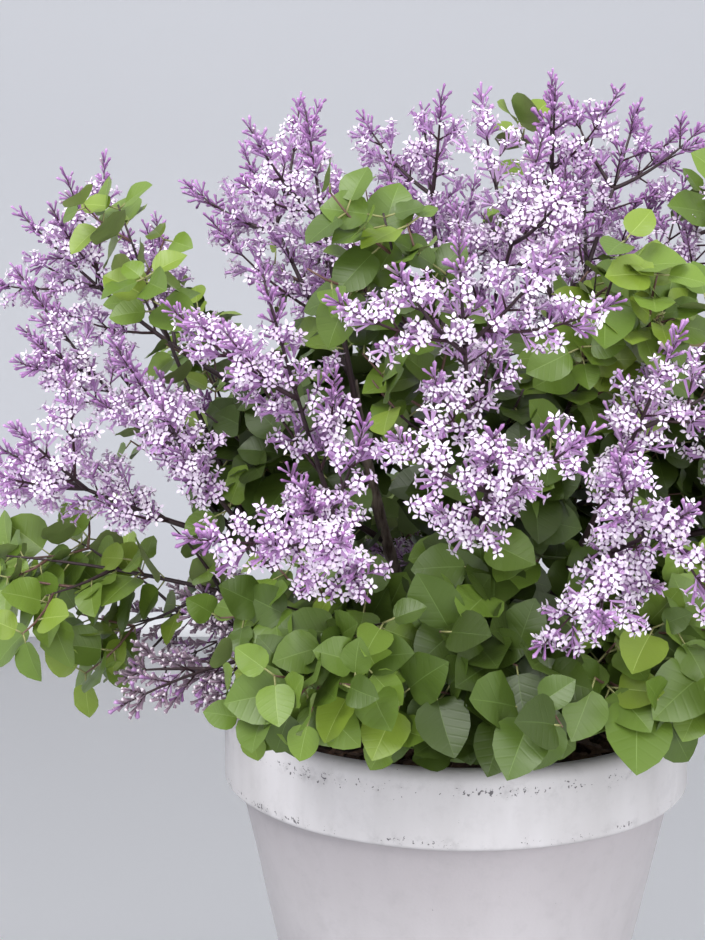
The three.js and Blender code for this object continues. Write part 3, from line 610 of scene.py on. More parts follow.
def stem_path(mass):
    bough, along, azimuth, elevation, reach, sag = MASSES[mass][:6]
    start = point_on(bough_path(bough), along)
    tip = at_reach(azimuth, elevation, reach)
    return np.array([start, (start + tip) / 2 - UP * sag, tip])


def side_shoot(stem, t, spread, turn, length, lift):
    axis, start = heading(stem, t), point_on(stem, t)
    out = branch_aim(axis, spread, turn)
    tip = start + out * length + axis * SHOOT_SWEEP * length + UP * lift * length
    return np.array([start, start + out * SHOOT_KNEE * length, tip])


def panicle_at_end(path):
    """The panicle that ends a shoot: the shoot, where on it the bloom starts, and its radius."""
    length = length_of(path)
    start = max(BLOOM_FROM, 1 - PANICLE_LENGTH / length)
    return path, start, PANICLE_RADIUS * min(1, length / FULL_SHOOT)


def panicle_outline(u):
    """How wide a panicle is, over its radius, from its foot to its tip."""
    return math.sin(math.pi * min(1, u + 0.06) ** 0.62) * (1.08 - 0.35 * u) + 0.05


def bloom_balls(path, start, size):
    """Three balls that stand for the bloom of a panicle: where they are, and their radii."""
    points = [point_on(path, start + (1 - start) * u) for u in BLOOM_BALLS]
    return points, [size * panicle_outline(u) for u in BLOOM_BALLS]


STEMS = {mass: stem_path(mass) for mass in MASSES}
HEARTS = {mass: point_on(path, HEART) for mass, path in STEMS.items()}
tracks = [(bough_path(name), bough_radius(name, 0.5)) for name in BOUGHS]
tracks += [(path, STEM_THICKNESS) for path in STEMS.values()]
steps = np.linspace(0, 1, LIMB_BALLS)
LIMB_POINTS = np.array([point_on(path, t) for path, _ in tracks for t in steps])
LIMB_RADII = np.array([radius for _, radius in tracks for _ in steps])
LIMB_OWNER = np.array([i // LIMB_BALLS - len(BOUGHS) for i in range(len(LIMB_RADII))])


def is_free(mass, points, radii, gap=CELL_GAP, limb_gap=LIMB_GAP):
    """Whether balls lie in a mass's cell, clear of the other limbs, the soil and the pot."""
    points, radii = np.atleast_2d(points), np.atleast_1d(radii)
    own = HEARTS[mass]
    across = np.array([heart - own for other, heart in HEARTS.items() if other != mass])
    span = np.linalg.norm(across, axis=1)
    if ((points - own) @ (across / span[:, None]).T > span / 2 - radii[:, None] - gap).any():
        return False
    out = np.hypot(points[:, 0], points[:, 1])
    beside = np.where(out > FURTHER_OUT, HANGS_TO[1], HANGS_TO[0])
    on_rim = out > RIM_RADIUS - WALL - POT_GAP
    floor = np.where(on_rim, POT_HEIGHT + POT_GAP, SOIL_TOP + SOIL_GAP)
    floor = np.where(out > RIM_RADIUS + POT_GAP, beside, floor)
    if (points[:, 2] - radii <= floor).any():
        return False
    others = LIMB_OWNER != list(MASSES).index(mass)
    away = np.linalg.norm(points[:, None] - LIMB_POINTS[others], axis=2) - LIMB_RADII[others]
    return bool((away > radii[:, None] + limb_gap).all())


def is_apart(points, radii, shoots):
    """Whether a bloom stands clear of the blooms that the mass already has."""
    for path, flowers in shoots:
        if flowers:
            for other, size in zip(*bloom_balls(*panicle_at_end(path))):
                for point, radius in zip(points, radii):
                    if np.linalg.norm(other - point) <= BLOOM_APART * (size + radius):
                        return False
    return True


def shoots_of(mass):
    """The stem of a mass and the side shoots that fit its cell: path and whether it flowers."""
    sag, pairs, side, panicles = MASSES[mass][5:9]
    random = seeded_random(7919 * (list(MASSES).index(mass) + 1))
    shoots = [(STEMS[mass], panicles > 0)]
    phase = next(random) * math.pi
    lift = SHOOT_LIFT if sag > 0 else 0
    for i in range(pairs * 2):
        pair = i // 2
        t = SHOOTS_FROM + SHOOTS_OVER * pair / max(1, pairs - 1) + 0.05 * next(random)
        turn = pair_turn(phase, i) + 0.5 * (next(random) - 0.5)
        spread = by_chance(*SHOOT_SPREAD, random)
        full = side * (1 - SHOOT_SHORTENS * pair) * by_chance(*SHOOT_LENGTH, random)
        flowers = sum(flowering for _, flowering in shoots) < panicles
        for scale, turned_by in SHOOT_TRIES:
            path = side_shoot(STEMS[mass], t, spread, turn + turned_by, full * scale, lift)
            twig = [point_on(path, t) for t in (0.35, 0.7, 1)]
            points, radii = bloom_balls(*panicle_at_end(path)) if flowers else ([], [])
            if not is_free(mass, np.array(twig + points), np.array([1, 1, 1] + radii)):
                continue
            if flowers and not is_apart(points, radii, shoots):
                continue
            shoots.append((path, flowers))
            break
    return shoots


shoots = [(mass, path, flowers) for mass in MASSES for path, flowers in shoots_of(mass)]


def panicles_of(mass, path, random):
    """The panicle at a shoot's end and, where they have room, a smaller pair from the joint below:
    the path, where on it the bloom starts, and its radius."""
    panicles = [panicle_at_end(path)]
    joint = max(0.1, panicles[0][1] - 0.06)
    turn = next(random) * math.pi
    for side in range(2):
        long = by_chance(*SIDE_PANICLE_LENGTH, random)
        spread = by_chance(*SIDE_PANICLE_SPREAD, random)
        branch = side_shoot(path, joint, spread, turn + side * math.pi, long, 0.2)
        tip, end = point_on(branch, 1), point_on(path, 1)
        beyond = np.linalg.norm(tip - CROWN_BASE) - np.linalg.norm(end - CROWN_BASE)
        if beyond < SIDE_OVERTOPS and is_free(mass, tip, np.array([0.0]), -12, -2):
            panicles.append((branch, SIDE_PANICLE_FROM, SIDE_PANICLE_RADIUS))
    return panicles


random = seeded_random(31337)
panicles = []
for mass, shoot, flowers in shoots:
    if flowers:
        panicles += [(shoot, mass, *panicle) for panicle in panicles_of(mass, shoot, random)]
balls = [bloom_balls(*panicle) for _, _, *panicle in panicles]
BLOOM_POINTS = np.concatenate([points for points, _ in balls])
BLOOM_RADII = np.concatenate([radii for _, radii in balls])


def clear_of_bloom(point, gap):
    return bool((np.linalg.norm(BLOOM_POINTS - point, axis=1) > BLOOM_RADII + gap).all())


def fine_twigs(mass, path, flowers, seed):
    """Leafy twigs in opposite pairs along the part of a shoot that carries no bloom."""
    random = seeded_random(seed)
    bare = (panicle_at_end(path)[1] + 0.1 if flowers else 0.93) - FINE_FROM
    pairs = round(bare * length_of(path) / MASSES[mass].twigs_apart)
    twigs = []
    for i in range(pairs * 2):
        t = FINE_FROM + bare * (i // 2 + 0.6 + 0.4 * next(random)) / pairs
        turn = pair_turn(0.5, i) + 0.7 * (next(random) - 0.5)
        full = by_chance(*FINE_LENGTH, random)
        spread = by_chance(*FINE_SPREAD, random)
        for scale in FINE_TRIES:
            twig = side_shoot(path, min(t, 0.97), spread, turn, full * scale, 0.15)
            tip = point_on(twig, 1)
            if is_free(mass, tip, FINE_ROOM) and clear_of_bloom(tip, FINE_FROM_BLOOM):
                twigs.append(twig)
                break
    return twigs


fine = []
for order, (mass, path, flowers) in enumerate(shoots):
    fine += [(mass, twig) for twig in fine_twigs(mass, path, flowers, 6151 * (order + 1))]

# Stems and shoots -----------------------------------------------------------
# The stem of each mass and its side shoots: last season's wood, brown to purplish, smooth and
# slightly shiny, thickest at the bough.
STEM_RADIUS = 2.1
SHOOT_RADIUS = 1.4
SHOOT_TAPER = 0.74
SHOOT_RINGS, SHOOT_SIDES = 14, 8


def young_wood(name, code):
    """The skin of young wood and leaf stalks: thin, smooth and faintly glossy."""
    return surface(name, Base_Color=linear(code), Roughness=0.5, IOR=1.45)[0]


tracks = []
for mass, path, flowers in shoots:
    thick = STEM_RADIUS if path is STEMS[mass] else SHOOT_RADIUS
    steps = np.linspace(0, 1, SHOOT_RINGS)
    radii = [thick * (1 - SHOOT_TAPER * t) for t in steps]
    tracks.append(([point_on(path, t) for t in steps], radii))
stems = swept("stems_and_shoots", tracks, SHOOT_SIDES)
placed("stems_and_shoots", stems, [young_wood("last_years_wood", "#3b2c2f")])

# Leaves ---------------------------------------------------------------------
# Broad ovate leaves in opposite pairs, nearly round with a short point, thin and smooth. Each is
# folded a little along its pale midrib and waved at its edge. Young ones at the shoot tips are
# small and yellow-green or bronze; full-grown ones inside the crown are painted darker, as shade.
LEAF_SPACING = 13  # mm along a fine twig, from pair to pair
LEAF_APART = 9.5  # mm between the middles of two leaves
LEAF_WIDTH = 0.44  # half width over length
LEAF_THICK = 0.012  # over length
LEAF_FOLD, LEAF_ARCH, LEAF_WAVE = (0.1, 0.22), (0.1, 0.3), (0.02, 0.055)
LEAF_LEAN = 0.16
LEAF_SIZE = (0.72, 0.5)  # over its mass's own
YOUNG_LEAF = 0.78  # over a full-grown one
LEAF_TRIES = (1, 0.8)
LEAF_SPREAD = (0.85, 0.4)  # radians from the twig
LEAF_ROLL = 0.7  # radians
LEAF_STALK, STALK_SPREAD = 7, (0.6, 0.6)  # mm, and its length over that
LEAVES_REACH = 302  # mm from the pot's axis that leaves stand out
LEAF_FROM_BLOOM = 7
RIB_WIDTH = 0.008  # half width over length
VEINS_APART = 0.15  # over length
VEIN_SLANT = -0.28  # how far a side vein starts back along the blade, over how far it runs out
SHARP = 1.2  # radians between faces, past which an edge shows
LEAF_OUTLINE = [  # along, and half the width over LEAF_WIDTH
    (0, 0), (0.03, 0.46), (0.12, 0.8), (0.27, 0.98), (0.44, 1),
    (0.62, 0.9), (0.79, 0.65), (0.92, 0.29), (1, 0),
]
LEAF_SHAPES = 8
PIECE_LIMIT = 190000  # triangles
SUNWARD = np.array([-0.15, -0.7, 0.8])  # where the blades turn, besides outwards

# The deep and dark tones also serve as painted shade for leaves inside the crown.
LEAF_TONES = {  # upper side of the blade, its underside, and the midrib
    "bright": ("#788e32", "#91a35b", "#95a955"),
    "fresh": ("#6b8430", "#809353", "#839a4d"),
    "mid": ("#5c742a", "#74854b", "#708840"),
    "deep": ("#4a5f22", "#64753f", "#5c7334"),
    "dark": ("#3a4b18", "#546134", "#4a5e28"),
    "bronze": ("#7c6c42", "#857650", "#96875f"),
}
TONE_ORDER = ["bright", "fresh", "mid", "deep", "dark"]


def leaf_shape(random):
    """A closed leaf along +Y, 1 long, its face up: a grid drawn to the outline, folded, arched and
    waved, with a coarser one for the underside joined to it all round the edge."""
    fold, arch, wave = (by_chance(*amount, random) for amount in (LEAF_FOLD, LEAF_ARCH, LEAF_WAVE))
    start, lean = 6.3 * next(random), LEAF_LEAN * (next(random) - 0.5)
    leaf = bmesh.new()
    coordinates = leaf.loops.layers.uv.new("blade")
    rows, rib = len(LEAF_OUTLINE) - 1, RIB_WIDTH / LEAF_WIDTH
    for columns in ((-1, -rib, rib, 1), (-1, 0, 1)):
        under = 0 in columns
        spans = len(columns) - 1
        sheet = bmesh.ops.create_grid(leaf, x_segments=spans, y_segments=rows, size=1)["verts"]
        faces = list({face for vert in sheet for face in vert.link_faces})
        for face in faces:
            on_rib = abs(face.calc_center_median().x) < 0.2
            face.material_index = 1 if under else 2 if on_rib else 0
        for vert in sheet:
            along, width = LEAF_OUTLINE[round((vert.co.y + 1) / 2 * rows)]
            across = columns[round((vert.co.x + 1) / 2 * spans)]
            for loop in vert.link_loops:
                loop[coordinates].uv = (across * width, along)
            x = across * width * LEAF_WIDTH
            edge = wave * across**2 * width * math.sin(start + 9 * along + (2 if across > 0 else 0))
            thick = LEAF_THICK * width if under and across == 0 else 0
            bent = fold * abs(x) - arch * along * (0.1 + 0.5 * along) + edge - thick
            vert.co = (x + lean * along * (1 - along), along, bent)
        if under:
            bmesh.ops.reverse_faces(leaf, faces=faces)
    bmesh.ops.remove_doubles(leaf, verts=leaf.verts, dist=1e-5)
    leaf.normal_update()
    for face in leaf.faces:
        face.smooth = True
    for edge in leaf.edges:
        edge.smooth = edge.calc_face_angle(0) < SHARP
    return leaf


MESH_FIELDS = {  # what a small shape is read into: the mesh's items, their field, width and kind
    "verts": ("vertices", "co", 3, float),
    "edges": ("edges", "vertices", 2, np.int64),
    "sharp": ("edges", "use_edge_sharp", 1, bool),
    "corners": ("loops", "vertex_index", 1, np.int64),
    "borders": ("loops", "edge_index", 1, np.int64),
    "slots": ("polygons", "material_index", 1, np.int64),
}


def read_kit(shape):
    """A small shape's triangles as arrays, ready to be copied."""
    bmesh.ops.triangulate(shape, faces=shape.faces[:])
    mesh = bpy.data.meshes.new("kit")
    shape.to_mesh(mesh)
    shape.free()
    kit = {}
    for key, (items, field, width, kind) in MESH_FIELDS.items():
        values = np.zeros(len(getattr(mesh, items)) * width, kind)
        getattr(mesh, items).foreach_get(field, values)
        kit[key] = values.reshape(-1, width) if width > 1 else values
    if mesh.uv_layers:
        values = np.zeros(len(mesh.loops) * 2, np.float32)
        mesh.uv_layers[0].uv.foreach_get("vector", values)
        kit["uv"] = values.reshape(-1, 2)
    return kit


def strewn(name, shapes, places, frames, sizes, picks, tones, materials, slot):
    """Joined meshes of many copies of a few small shapes. Each copy has a place in mm, three
    directions for its own axes, a size, the shape that it takes, and the materials that stand in
    for its shape's first, second and third ones."""
    kits = [read_kit(shape) for shape in shapes]
    copies = (places, frames, sizes, picks, tones)
    places, frames, sizes, picks, tones = (np.array(values) for values in copies)
    each = max(len(kit["slots"]) for kit in kits)
    count = math.ceil(len(places) * each / PIECE_LIMIT)
    pieces = []
    for part, rows in enumerate(np.array_split(np.arange(len(places)), count)):
        blocks = {key: [] for key in kits[0]}
        verts = edges = 0
        for kit_index, kit in enumerate(kits):
            chosen = rows[picks[rows] == kit_index]
            size = sizes[chosen].reshape(len(chosen), 1, -1)
            spread = np.einsum("nvk,nkc->nvc", kit["verts"][None] * size, frames[chosen])
            spread = spread + places[chosen][:, None]
            first = verts + len(kit["verts"]) * np.arange(len(chosen))[:, None]
            border = edges + len(kit["edges"]) * np.arange(len(chosen))[:, None]
            blocks["verts"].append(spread.reshape(-1, 3) * MM)
            blocks["edges"].append((kit["edges"][None] + first[:, :, None]).reshape(-1, 2))
            blocks["sharp"].append(np.tile(kit["sharp"], len(chosen)))
            blocks["corners"].append((kit["corners"][None] + first).ravel())
            blocks["borders"].append((kit["borders"][None] + border).ravel())
            blocks["slots"].append(tones[chosen][:, kit["slots"]].ravel())
            if "uv" in kit:
                blocks["uv"].append(np.tile(kit["uv"], (len(chosen), 1)))
            verts += len(kit["verts"]) * len(chosen)
            edges += len(kit["edges"]) * len(chosen)
        data = {key: np.concatenate(values) for key, values in blocks.items()}
        mesh = bpy.data.meshes.new(f"{name}_{part + 1}")
        mesh.vertices.add(len(data["verts"]))
        mesh.edges.add(len(data["edges"]))
        mesh.loops.add(len(data["corners"]))
        mesh.polygons.add(len(data["slots"]))
        mesh.polygons.foreach_set("loop_start", np.arange(len(data["slots"])) * 3)
        mesh.polygons.foreach_set("use_smooth", np.ones(len(data["slots"]), bool))
        for key, (items, field, _, _) in MESH_FIELDS.items():
            if key != "sharp":
                getattr(mesh, items).foreach_set(field, data[key].ravel())
        sharp = mesh.attributes.new("sharp_edge", "BOOLEAN", "EDGE")
        sharp.data.foreach_set("value", data["sharp"])
        if "uv" in data:
            mesh.uv_layers.new(name="blade").uv.foreach_set("vector", data["uv"].ravel())
        mesh.update()
        pieces.append(placed(mesh.name, mesh, materials))
    return pieces


def leaf_skin(name, code, roughness):
    """A lilac leaf: smooth thin skin with a soft waxy gloss, and side veins sunk in its face."""
    material, shader = surface(name, Base_Color=linear(code), Roughness=roughness, IOR=1.45)
    blade = add(material, "UVMap", {}, uv_map="blade")
    across = add(material, "SeparateXYZ", {0: blade})
    along = add(material, "SeparateXYZ", {0: blade}, 1)
    aside = add(material, "Math", {0: across}, operation="ABSOLUTE")
    slant = {0: aside, 1: VEIN_SLANT, 2: along}
    slant = add(material, "Math", slant, operation="MULTIPLY_ADD")
    veins = add(material, "Math", {0: slant, 1: VEINS_APART / 2}, operation="PINGPONG")
    span = {1: 0.0, 2: 0.03}
    sunk = add(material, "MapRange", {0: veins, **span}, interpolation_type="SMOOTHSTEP")
    bump = add(material, "Bump", {"Height": sunk, "Strength": 0.15, "Distance": 0.3 * MM})
    material.node_tree.links.new(bump, shader.inputs["Normal"])
    return material


leaf_materials, leaf_slots = [], {}
for tone, (upper, under, rib) in LEAF_TONES.items():
    leaf_slots[tone] = [len(leaf_materials) + k for k in range(3)]
    leaf_materials.append(leaf_skin(f"leaf_{tone}_upper", upper, 0.38))
    leaf_materials.append(leaf_skin(f"leaf_{tone}_underside", under, 0.6))
    leaf_materials.append(surface(f"leaf_{tone}_midrib", Base_Color=linear(rib), Roughness=0.5)[0])

# Of each leaf: its place, frame, size, shape and materials, its stalk, and where its middle lies.
places, frames, sizes, picks, tones, stalks, taken = [], [], [], [], [], [], []


def leaf_tone(mass, middle, tip, shade):
    """A leaf's tone: its mass's own, a step lighter or darker by chance, lighter at a twig's tip,
    and a step darker inside the crown as painted shade."""
    tone = MASSES[mass].tone
    if tone == "bronze":
        tone = "bronze" if tip and shade < 0.55 else "fresh"
    if tone in TONE_ORDER:
        # Painted shade: a leaf in the inner part of its mass's reach takes a tone one step darker.
        reach = np.linalg.norm(at_reach(*MASSES[mass][2:5]) - CROWN_BASE)
        inside = np.linalg.norm(middle - CROWN_BASE) / reach < 0.55
        lighter = (shade < 0.16) + bool(tip and shade < 0.4)
        order = TONE_ORDER.index(tone) + (shade > 0.7) + inside - lighter
        tone = TONE_ORDER[min(max(order, 0), len(TONE_ORDER) - 1)]
    return tone


def grow_leaf(mass, stem, t, turn, random, tip):
    """One leaf of a pair, on its stalk, where it has room. Those near a twig's tip are smaller."""
    axis, foot = heading(stem, t), point_on(stem, t)
    out = branch_aim(axis, by_chance(*LEAF_SPREAD, random), turn)
    along = unit(out - UP * 0.5 * next(random))
    light = 0.6 * unit(np.array([foot[0], foot[1], 0]) + 1e-6) + SUNWARD + axis * 0.3
    face = unit(light - along * (light @ along))
    roll = LEAF_ROLL * (next(random) - 0.5)
    side = np.cross(along, face)
    level, rolled = math.cos(roll), math.sin(roll)
    face, side = face * level + side * rolled, side * level - face * rolled
    size = MASSES[mass].leaf * by_chance(*LEAF_SIZE, random) * (YOUNG_LEAF if tip else 1)
    base = foot + along * LEAF_STALK * by_chance(*STALK_SPREAD, random)
    pick, shade = next(random), next(random)
    for scale in LEAF_TRIES:
        middle = base + along * 0.55 * size * scale
        end = base + along * size * scale
        if np.hypot(end[0], end[1]) > LEAVES_REACH or not clear_of_bloom(middle, LEAF_FROM_BLOOM):
            continue
        if not is_free(mass, np.array([middle, end]), np.array([0.0, 0.0]), -7, -1):
            continue
        if taken and np.linalg.norm(np.array(taken) - middle, axis=1).min() < LEAF_APART:
            continue
        taken.append(middle)
        places.append(base)
        frames.append([side, along, face])
        sizes.append(size * scale)
        picks.append(int(pick * LEAF_SHAPES))
        tones.append(leaf_slots[leaf_tone(mass, middle, tip, shade)])
        stalks.append([foot, base + along * 0.5])
        return


random = seeded_random(104729)
for mass, twig in fine:
    pairs = max(1, round(length_of(twig) * 0.8 / LEAF_SPACING))
    phase = next(random) * math.pi
    for i in range(pairs * 2 + 2):
        t = min(0.98, 0.2 + 0.8 * (i // 2) / pairs)
        grow_leaf(mass, twig, t, pair_turn(phase, i), random, i >= pairs * 2 - 1)
for mass, path, flowers in shoots:
    bare = panicle_at_end(path)[1] + 0.05 if flowers else 1
    pairs = max(1, round(bare * length_of(path) / (0.5 * MASSES[mass].twigs_apart)))
    for i in range(pairs * 2):
        t = bare * (i // 2 + 0.7) / pairs
        grow_leaf(mass, path, t, pair_turn(0.4, i), random, False)
    for i in range(0 if flowers else 4):
        grow_leaf(mass, path, 0.95 + 0.04 * (i // 2), pair_turn(0.8, i), random, True)

leaf_random = seeded_random(7)
shapes = [leaf_shape(leaf_random) for _ in range(LEAF_SHAPES)]
leaves = strewn("leaves", shapes, places, frames, sizes, picks, tones, leaf_materials, "foliage")
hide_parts(*["mass_" + mass for mass in MASSES])

# Fine twigs and leaf stalks -------------------------------------------------
# What carries the leaves: thin brown wood of this season, and each leaf's own short stalk, green
# turning brown, which is soft when young and runs on into the midrib.
FINE_RADII = {0: 0.9, 0.35: 0.765, 0.7: 0.63, 1: 0.45}  # along the twig
FINE_SIDES = 6
STALK_RADII = (0.6, 0.45)
STALK_SIDES = 4

tracks = [([point_on(twig, t) for t in FINE_RADII], list(FINE_RADII.values())) for _, twig in fine]
twigs = swept("fine_twigs", tracks, FINE_SIDES)
placed("fine_twigs", twigs, [young_wood("this_years_wood", "#6b4f45")])

leaf_stalks = swept("leaf_stalks", [(ends, STALK_RADII) for ends in stalks], STALK_SIDES)
placed("leaf_stalks", leaf_stalks, [young_wood("leaf_stalk_skin", "#93955f")])

# Bloom ----------------------------------------------------------------------
# Panicles of small four-petalled flowers on slender tubes. The lowest open first, white to pale
# lilac with petals hooked up at the tips round a throat in painted shade, while the panicle's tip
# is still all club-shaped purple buds.
NODES_APART = 12  # mm along a panicle, from pair to pair of its branches
LOOSE_NODES_APART = 15  # on the mauve ones, whose buds stand in clusters on longer branches
LOOSE_REACH = 10  # mm that those branches are longer
CYMES_APART = 9  # mm along a branch, from one cluster of flowers to the next
STALKS_APART = 1.1  # mm along a branch, from one flower of a cluster to the next
TIP_CYME, END_CYME, LOOSE_END_CYME, INNER_CYME = 8, 6, 11, 3  # flowers in a cluster
CYME_TURN = 2.4  # radians from one flower of a cluster to the next
CYME_SPREAD = (0.5, 0.55)  # radians from the branch
BRANCH_LENGTH = (0.7, 0.5)  # over the panicle's own breadth there
OPEN_TO = (0.75, 0.4)  # over how far up a panicle is open
FLOWER_SIZE = (0.84, 0.32)  # of flowers and buds, over the usual
STILL_CLOSED = 0.2  # share of the flowers among the open ones that are buds yet
RACHIS_RADIUS = 0.95
RACHIS_TIP, BRANCH_FOOT = 0.42, 0.65  # over that radius
RACHIS_POINTS, RACHIS_SIDES = 8, 4
FLOWER_ACROSS = 7.2
TUBE_LENGTH = 8
TUBE_RADII = (0.13, 0.25)  # over half the flower's width, at its foot and its mouth
THROAT_RADIUS = 0.19  # where the petals start
PETAL = [  # along and aside, from the throat
    (1, 0), (0.74, -0.2), (0.38, -0.26), (0, -0.08), (0, 0.08), (0.38, 0.26), (0.74, 0.2),
]
PETAL_DISH = 0.1  # how far a petal's middle lies below its edge
PETAL_THICK = 0.07
PETAL_HOOK, HOOK_SPREAD = 0.2, (0.3, 1.7)  # how far its tip stands up, and over that
FLOWER_SHAPES = 4
BUD_LENGTH = 8.6
BUD_GIRTHS = (0, 0.06, 0.088, 0.135, 0)  # over its length, ring by ring
BUD_HEIGHTS = (0, 0.02, 0.6, 0.86, 1)
BUD_SHAPES = 4
PLUMP = {"mauve": 1.5, "buds": 1.2}  # how much thicker the buds are on a panicle of mostly buds

BLOOM_TONES = {  # shares of white, pale, lilac and mauve flowers, then of purple, deep, dusky buds
    "white": ((0.5, 0.36, 0.14, 0), (0.6, 0.35, 0.05)),
    "pale": ((0.28, 0.45, 0.27, 0), (0.6, 0.35, 0.05)),
    "lilac": ((0.14, 0.42, 0.44, 0), (0.5, 0.5, 0)),
    "buds": ((0.1, 0.45, 0.45, 0), (0.6, 0.4, 0)),
    "mauve": ((0.2, 0.4, 0.1, 0.3), (0.07, 0.03, 0.9)),
}
FLOWER_COLOURS = {  # petals, tube
    "white": ("#f5ecf6", "#cbaad2"),
    "pale": ("#ede0f0", "#c098c9"),
    "lilac": ("#e2cfe6", "#b488be"),
    "mauve": ("#dccdd8", "#ab94ab"),
}
BUD_COLOURS = {  # head, tube
    "purple": ("#c79fce", "#b688bf"),
    # The deep buds are the purple ones in painted shade: a darker copy that is mixed in by chance.
    "deep": ("#a876b0", "#9d6ca5"),
    "dusky": ("#e6dce2", "#a68d9f"),
}


def flower_shape(random):
    """A flower whose mouth is at the origin, facing +Z, 1 from the middle to a petal's tip. Each
    petal is a closed blade: a pointed face drawn in to a low point on either side."""
    flower = bmesh.new()
    corners = len(PETAL)
    for quarter in range(4):
        hook = PETAL_HOOK * by_chance(*HOOK_SPREAD, random)
        twist, droop = 0.3 * (next(random) - 0.5), 0.5 * (next(random) - 0.6)
        sides = []
        for depth in (PETAL_DISH, PETAL_DISH + PETAL_THICK):
            for vert in bmesh.ops.create_circle(
                flower, cap_ends=True, cap_tris=True, segments=corners, radius=1
            )["verts"]:
                if vert.co.length < 0.5:
                    vert.co = (0.55, 0, -depth)
                else:
                    round_it = math.atan2(-vert.co.x, vert.co.y) / (2 * math.pi)
                    along, aside = PETAL[round(round_it * corners) % corners]
                    out = THROAT_RADIUS + (1 - THROAT_RADIUS) * along
                    vert.co = (out, aside, hook * along**3)
                sides.append(vert)
        turn = Matrix.Rotation(quarter * math.pi / 2, 4, "Z")
        turn = turn @ Matrix.Rotation(twist, 4, "X") @ Matrix.Rotation(droop, 4, "Y")
        bmesh.ops.transform(flower, matrix=turn, verts=sides)
    bmesh.ops.remove_doubles(flower, verts=flower.verts, dist=1e-4)
    long = TUBE_LENGTH / (FLOWER_ACROSS / 2)
    below = Matrix.Translation((0, 0, -0.06 - long / 2))
    tube = bmesh.ops.create_cone(
        flower, cap_ends=True, segments=4, radius1=TUBE_RADII[0], radius2=TUBE_RADII[1],
        depth=long, matrix=below,
    )["verts"]
    bmesh.ops.recalc_face_normals(flower, faces=flower.faces)
    # The tube's top cap takes the third material: the dark painted shade of the throat's opening.
    for face in {face for vert in tube for face in vert.link_faces}:
        face.material_index = 2 if face.calc_center_median().z > -0.1 else 1
    for edge in flower.edges:
        edge.smooth = edge.calc_face_angle(0) < SHARP
    return flower


def bud_shape(random):
    """A closed bud along +Z from the origin, 1 long: a thin tube that swells to a club."""
    bud = bmesh.new()
    rings = len(BUD_GIRTHS) - 1
    bmesh.ops.create_uvsphere(bud, u_segments=3, v_segments=rings, radius=1)
    bend = 0.16 * (next(random) - 0.5)
    for vert in bud.verts:
        ring = round((math.asin(max(-1, min(1, vert.co.z))) / math.pi + 0.5) * rings)
        side = Vector((vert.co.x, vert.co.y, 0))
        side = side.normalized() if side.length > 0.01 else side
        up = BUD_HEIGHTS[ring]
        vert.co = side * BUD_GIRTHS[ring] + Vector((bend * up**2, 0, up))
    for face in bud.faces:
        face.material_index = 0 if face.calc_center_median().z > 0.8 else 1
    return bud


def frame_about(out, turn):
    """Three directions, the third along out, turned about it."""
    level, over = square_to(out)
    first = level * math.cos(turn) + over * math.sin(turn)
    return [first, np.cross(out, first), out]


def petal_skin(name, code):
    """A thin petal: soft and matt, with the faint sheen of its velvety cells."""
    sheen = {"Sheen_Weight": 0.15, "Sheen_Roughness": 0.4}
    return surface(name, Base_Color=linear(code), Roughness=0.6, IOR=1.4, **sheen)[0]


# Painted shade: a dark purple that stands for the shaded opening of each flower's tube.
throat = surface("flower_throat_painted_shade", Base_Color=linear("#4b2452"), Roughness=0.7)[0]
bloom_materials, flower_slots, bud_slots = [throat], {}, {}
for tone, (petals, tube) in FLOWER_COLOURS.items():
    flower_slots[tone] = [len(bloom_materials), len(bloom_materials) + 1, 0]
    bloom_materials.append(petal_skin(f"{tone}_petal", petals))
    bloom_materials.append(petal_skin(f"{tone}_flower_tube", tube))
for tone, (head, tube) in BUD_COLOURS.items():
    bud_slots[tone] = [len(bloom_materials), len(bloom_materials) + 1, 0]
    bloom_materials.append(petal_skin(f"{tone}_bud", head))
    bloom_materials.append(petal_skin(f"{tone}_bud_tube", tube))


def picked(shares, names, value):
    """The name whose share of the whole a value between 0 and 1 falls in."""
    found = np.searchsorted(np.cumsum(shares), value * sum(shares))
    return list(names)[min(int(found), len(names) - 1)]


# Of each flower and bud: its place, frame, size, shape and materials.
flowers, buds, rachises = ([], [], [], [], []), ([], [], [], [], []), []


def cyme(where, out, axis, count, bloom, opened, young, random):
    """A cluster of flowers or buds that spread from one point of a panicle's branch."""
    for k in range(count):
        turn = k * CYME_TURN + 1.5 * next(random)
        spread = 0.2 if k == 0 else by_chance(*CYME_SPREAD, random)
        toward = unit(branch_aim(out, spread, turn) + axis * 0.2)
        foot = where - out * STALKS_APART * k
        kind, roll, scale = next(random), 6.3 * next(random), by_chance(*FLOWER_SIZE, random)
        frame = frame_about(toward, roll)
        if opened and next(random) < 1 - STILL_CLOSED:
            tone = flower_slots[picked(BLOOM_TONES[bloom][0], FLOWER_COLOURS, kind)]
            mouth = foot + toward * TUBE_LENGTH * scale
            shape = int(FLOWER_SHAPES * next(random))
            group, values = flowers, (mouth, frame, FLOWER_ACROSS / 2 * scale, shape, tone)
        else:
            tone = bud_slots[picked(BLOOM_TONES[bloom][1], BUD_COLOURS, kind)]
            plump = PLUMP.get(bloom, 1)
            size = BUD_LENGTH * scale * young * np.array([plump, plump, 1])
            shape = int(BUD_SHAPES * next(random))
            group, values = buds, (foot, frame, size, shape, tone)
        for store, value in zip(group, values):
            store.append(value)


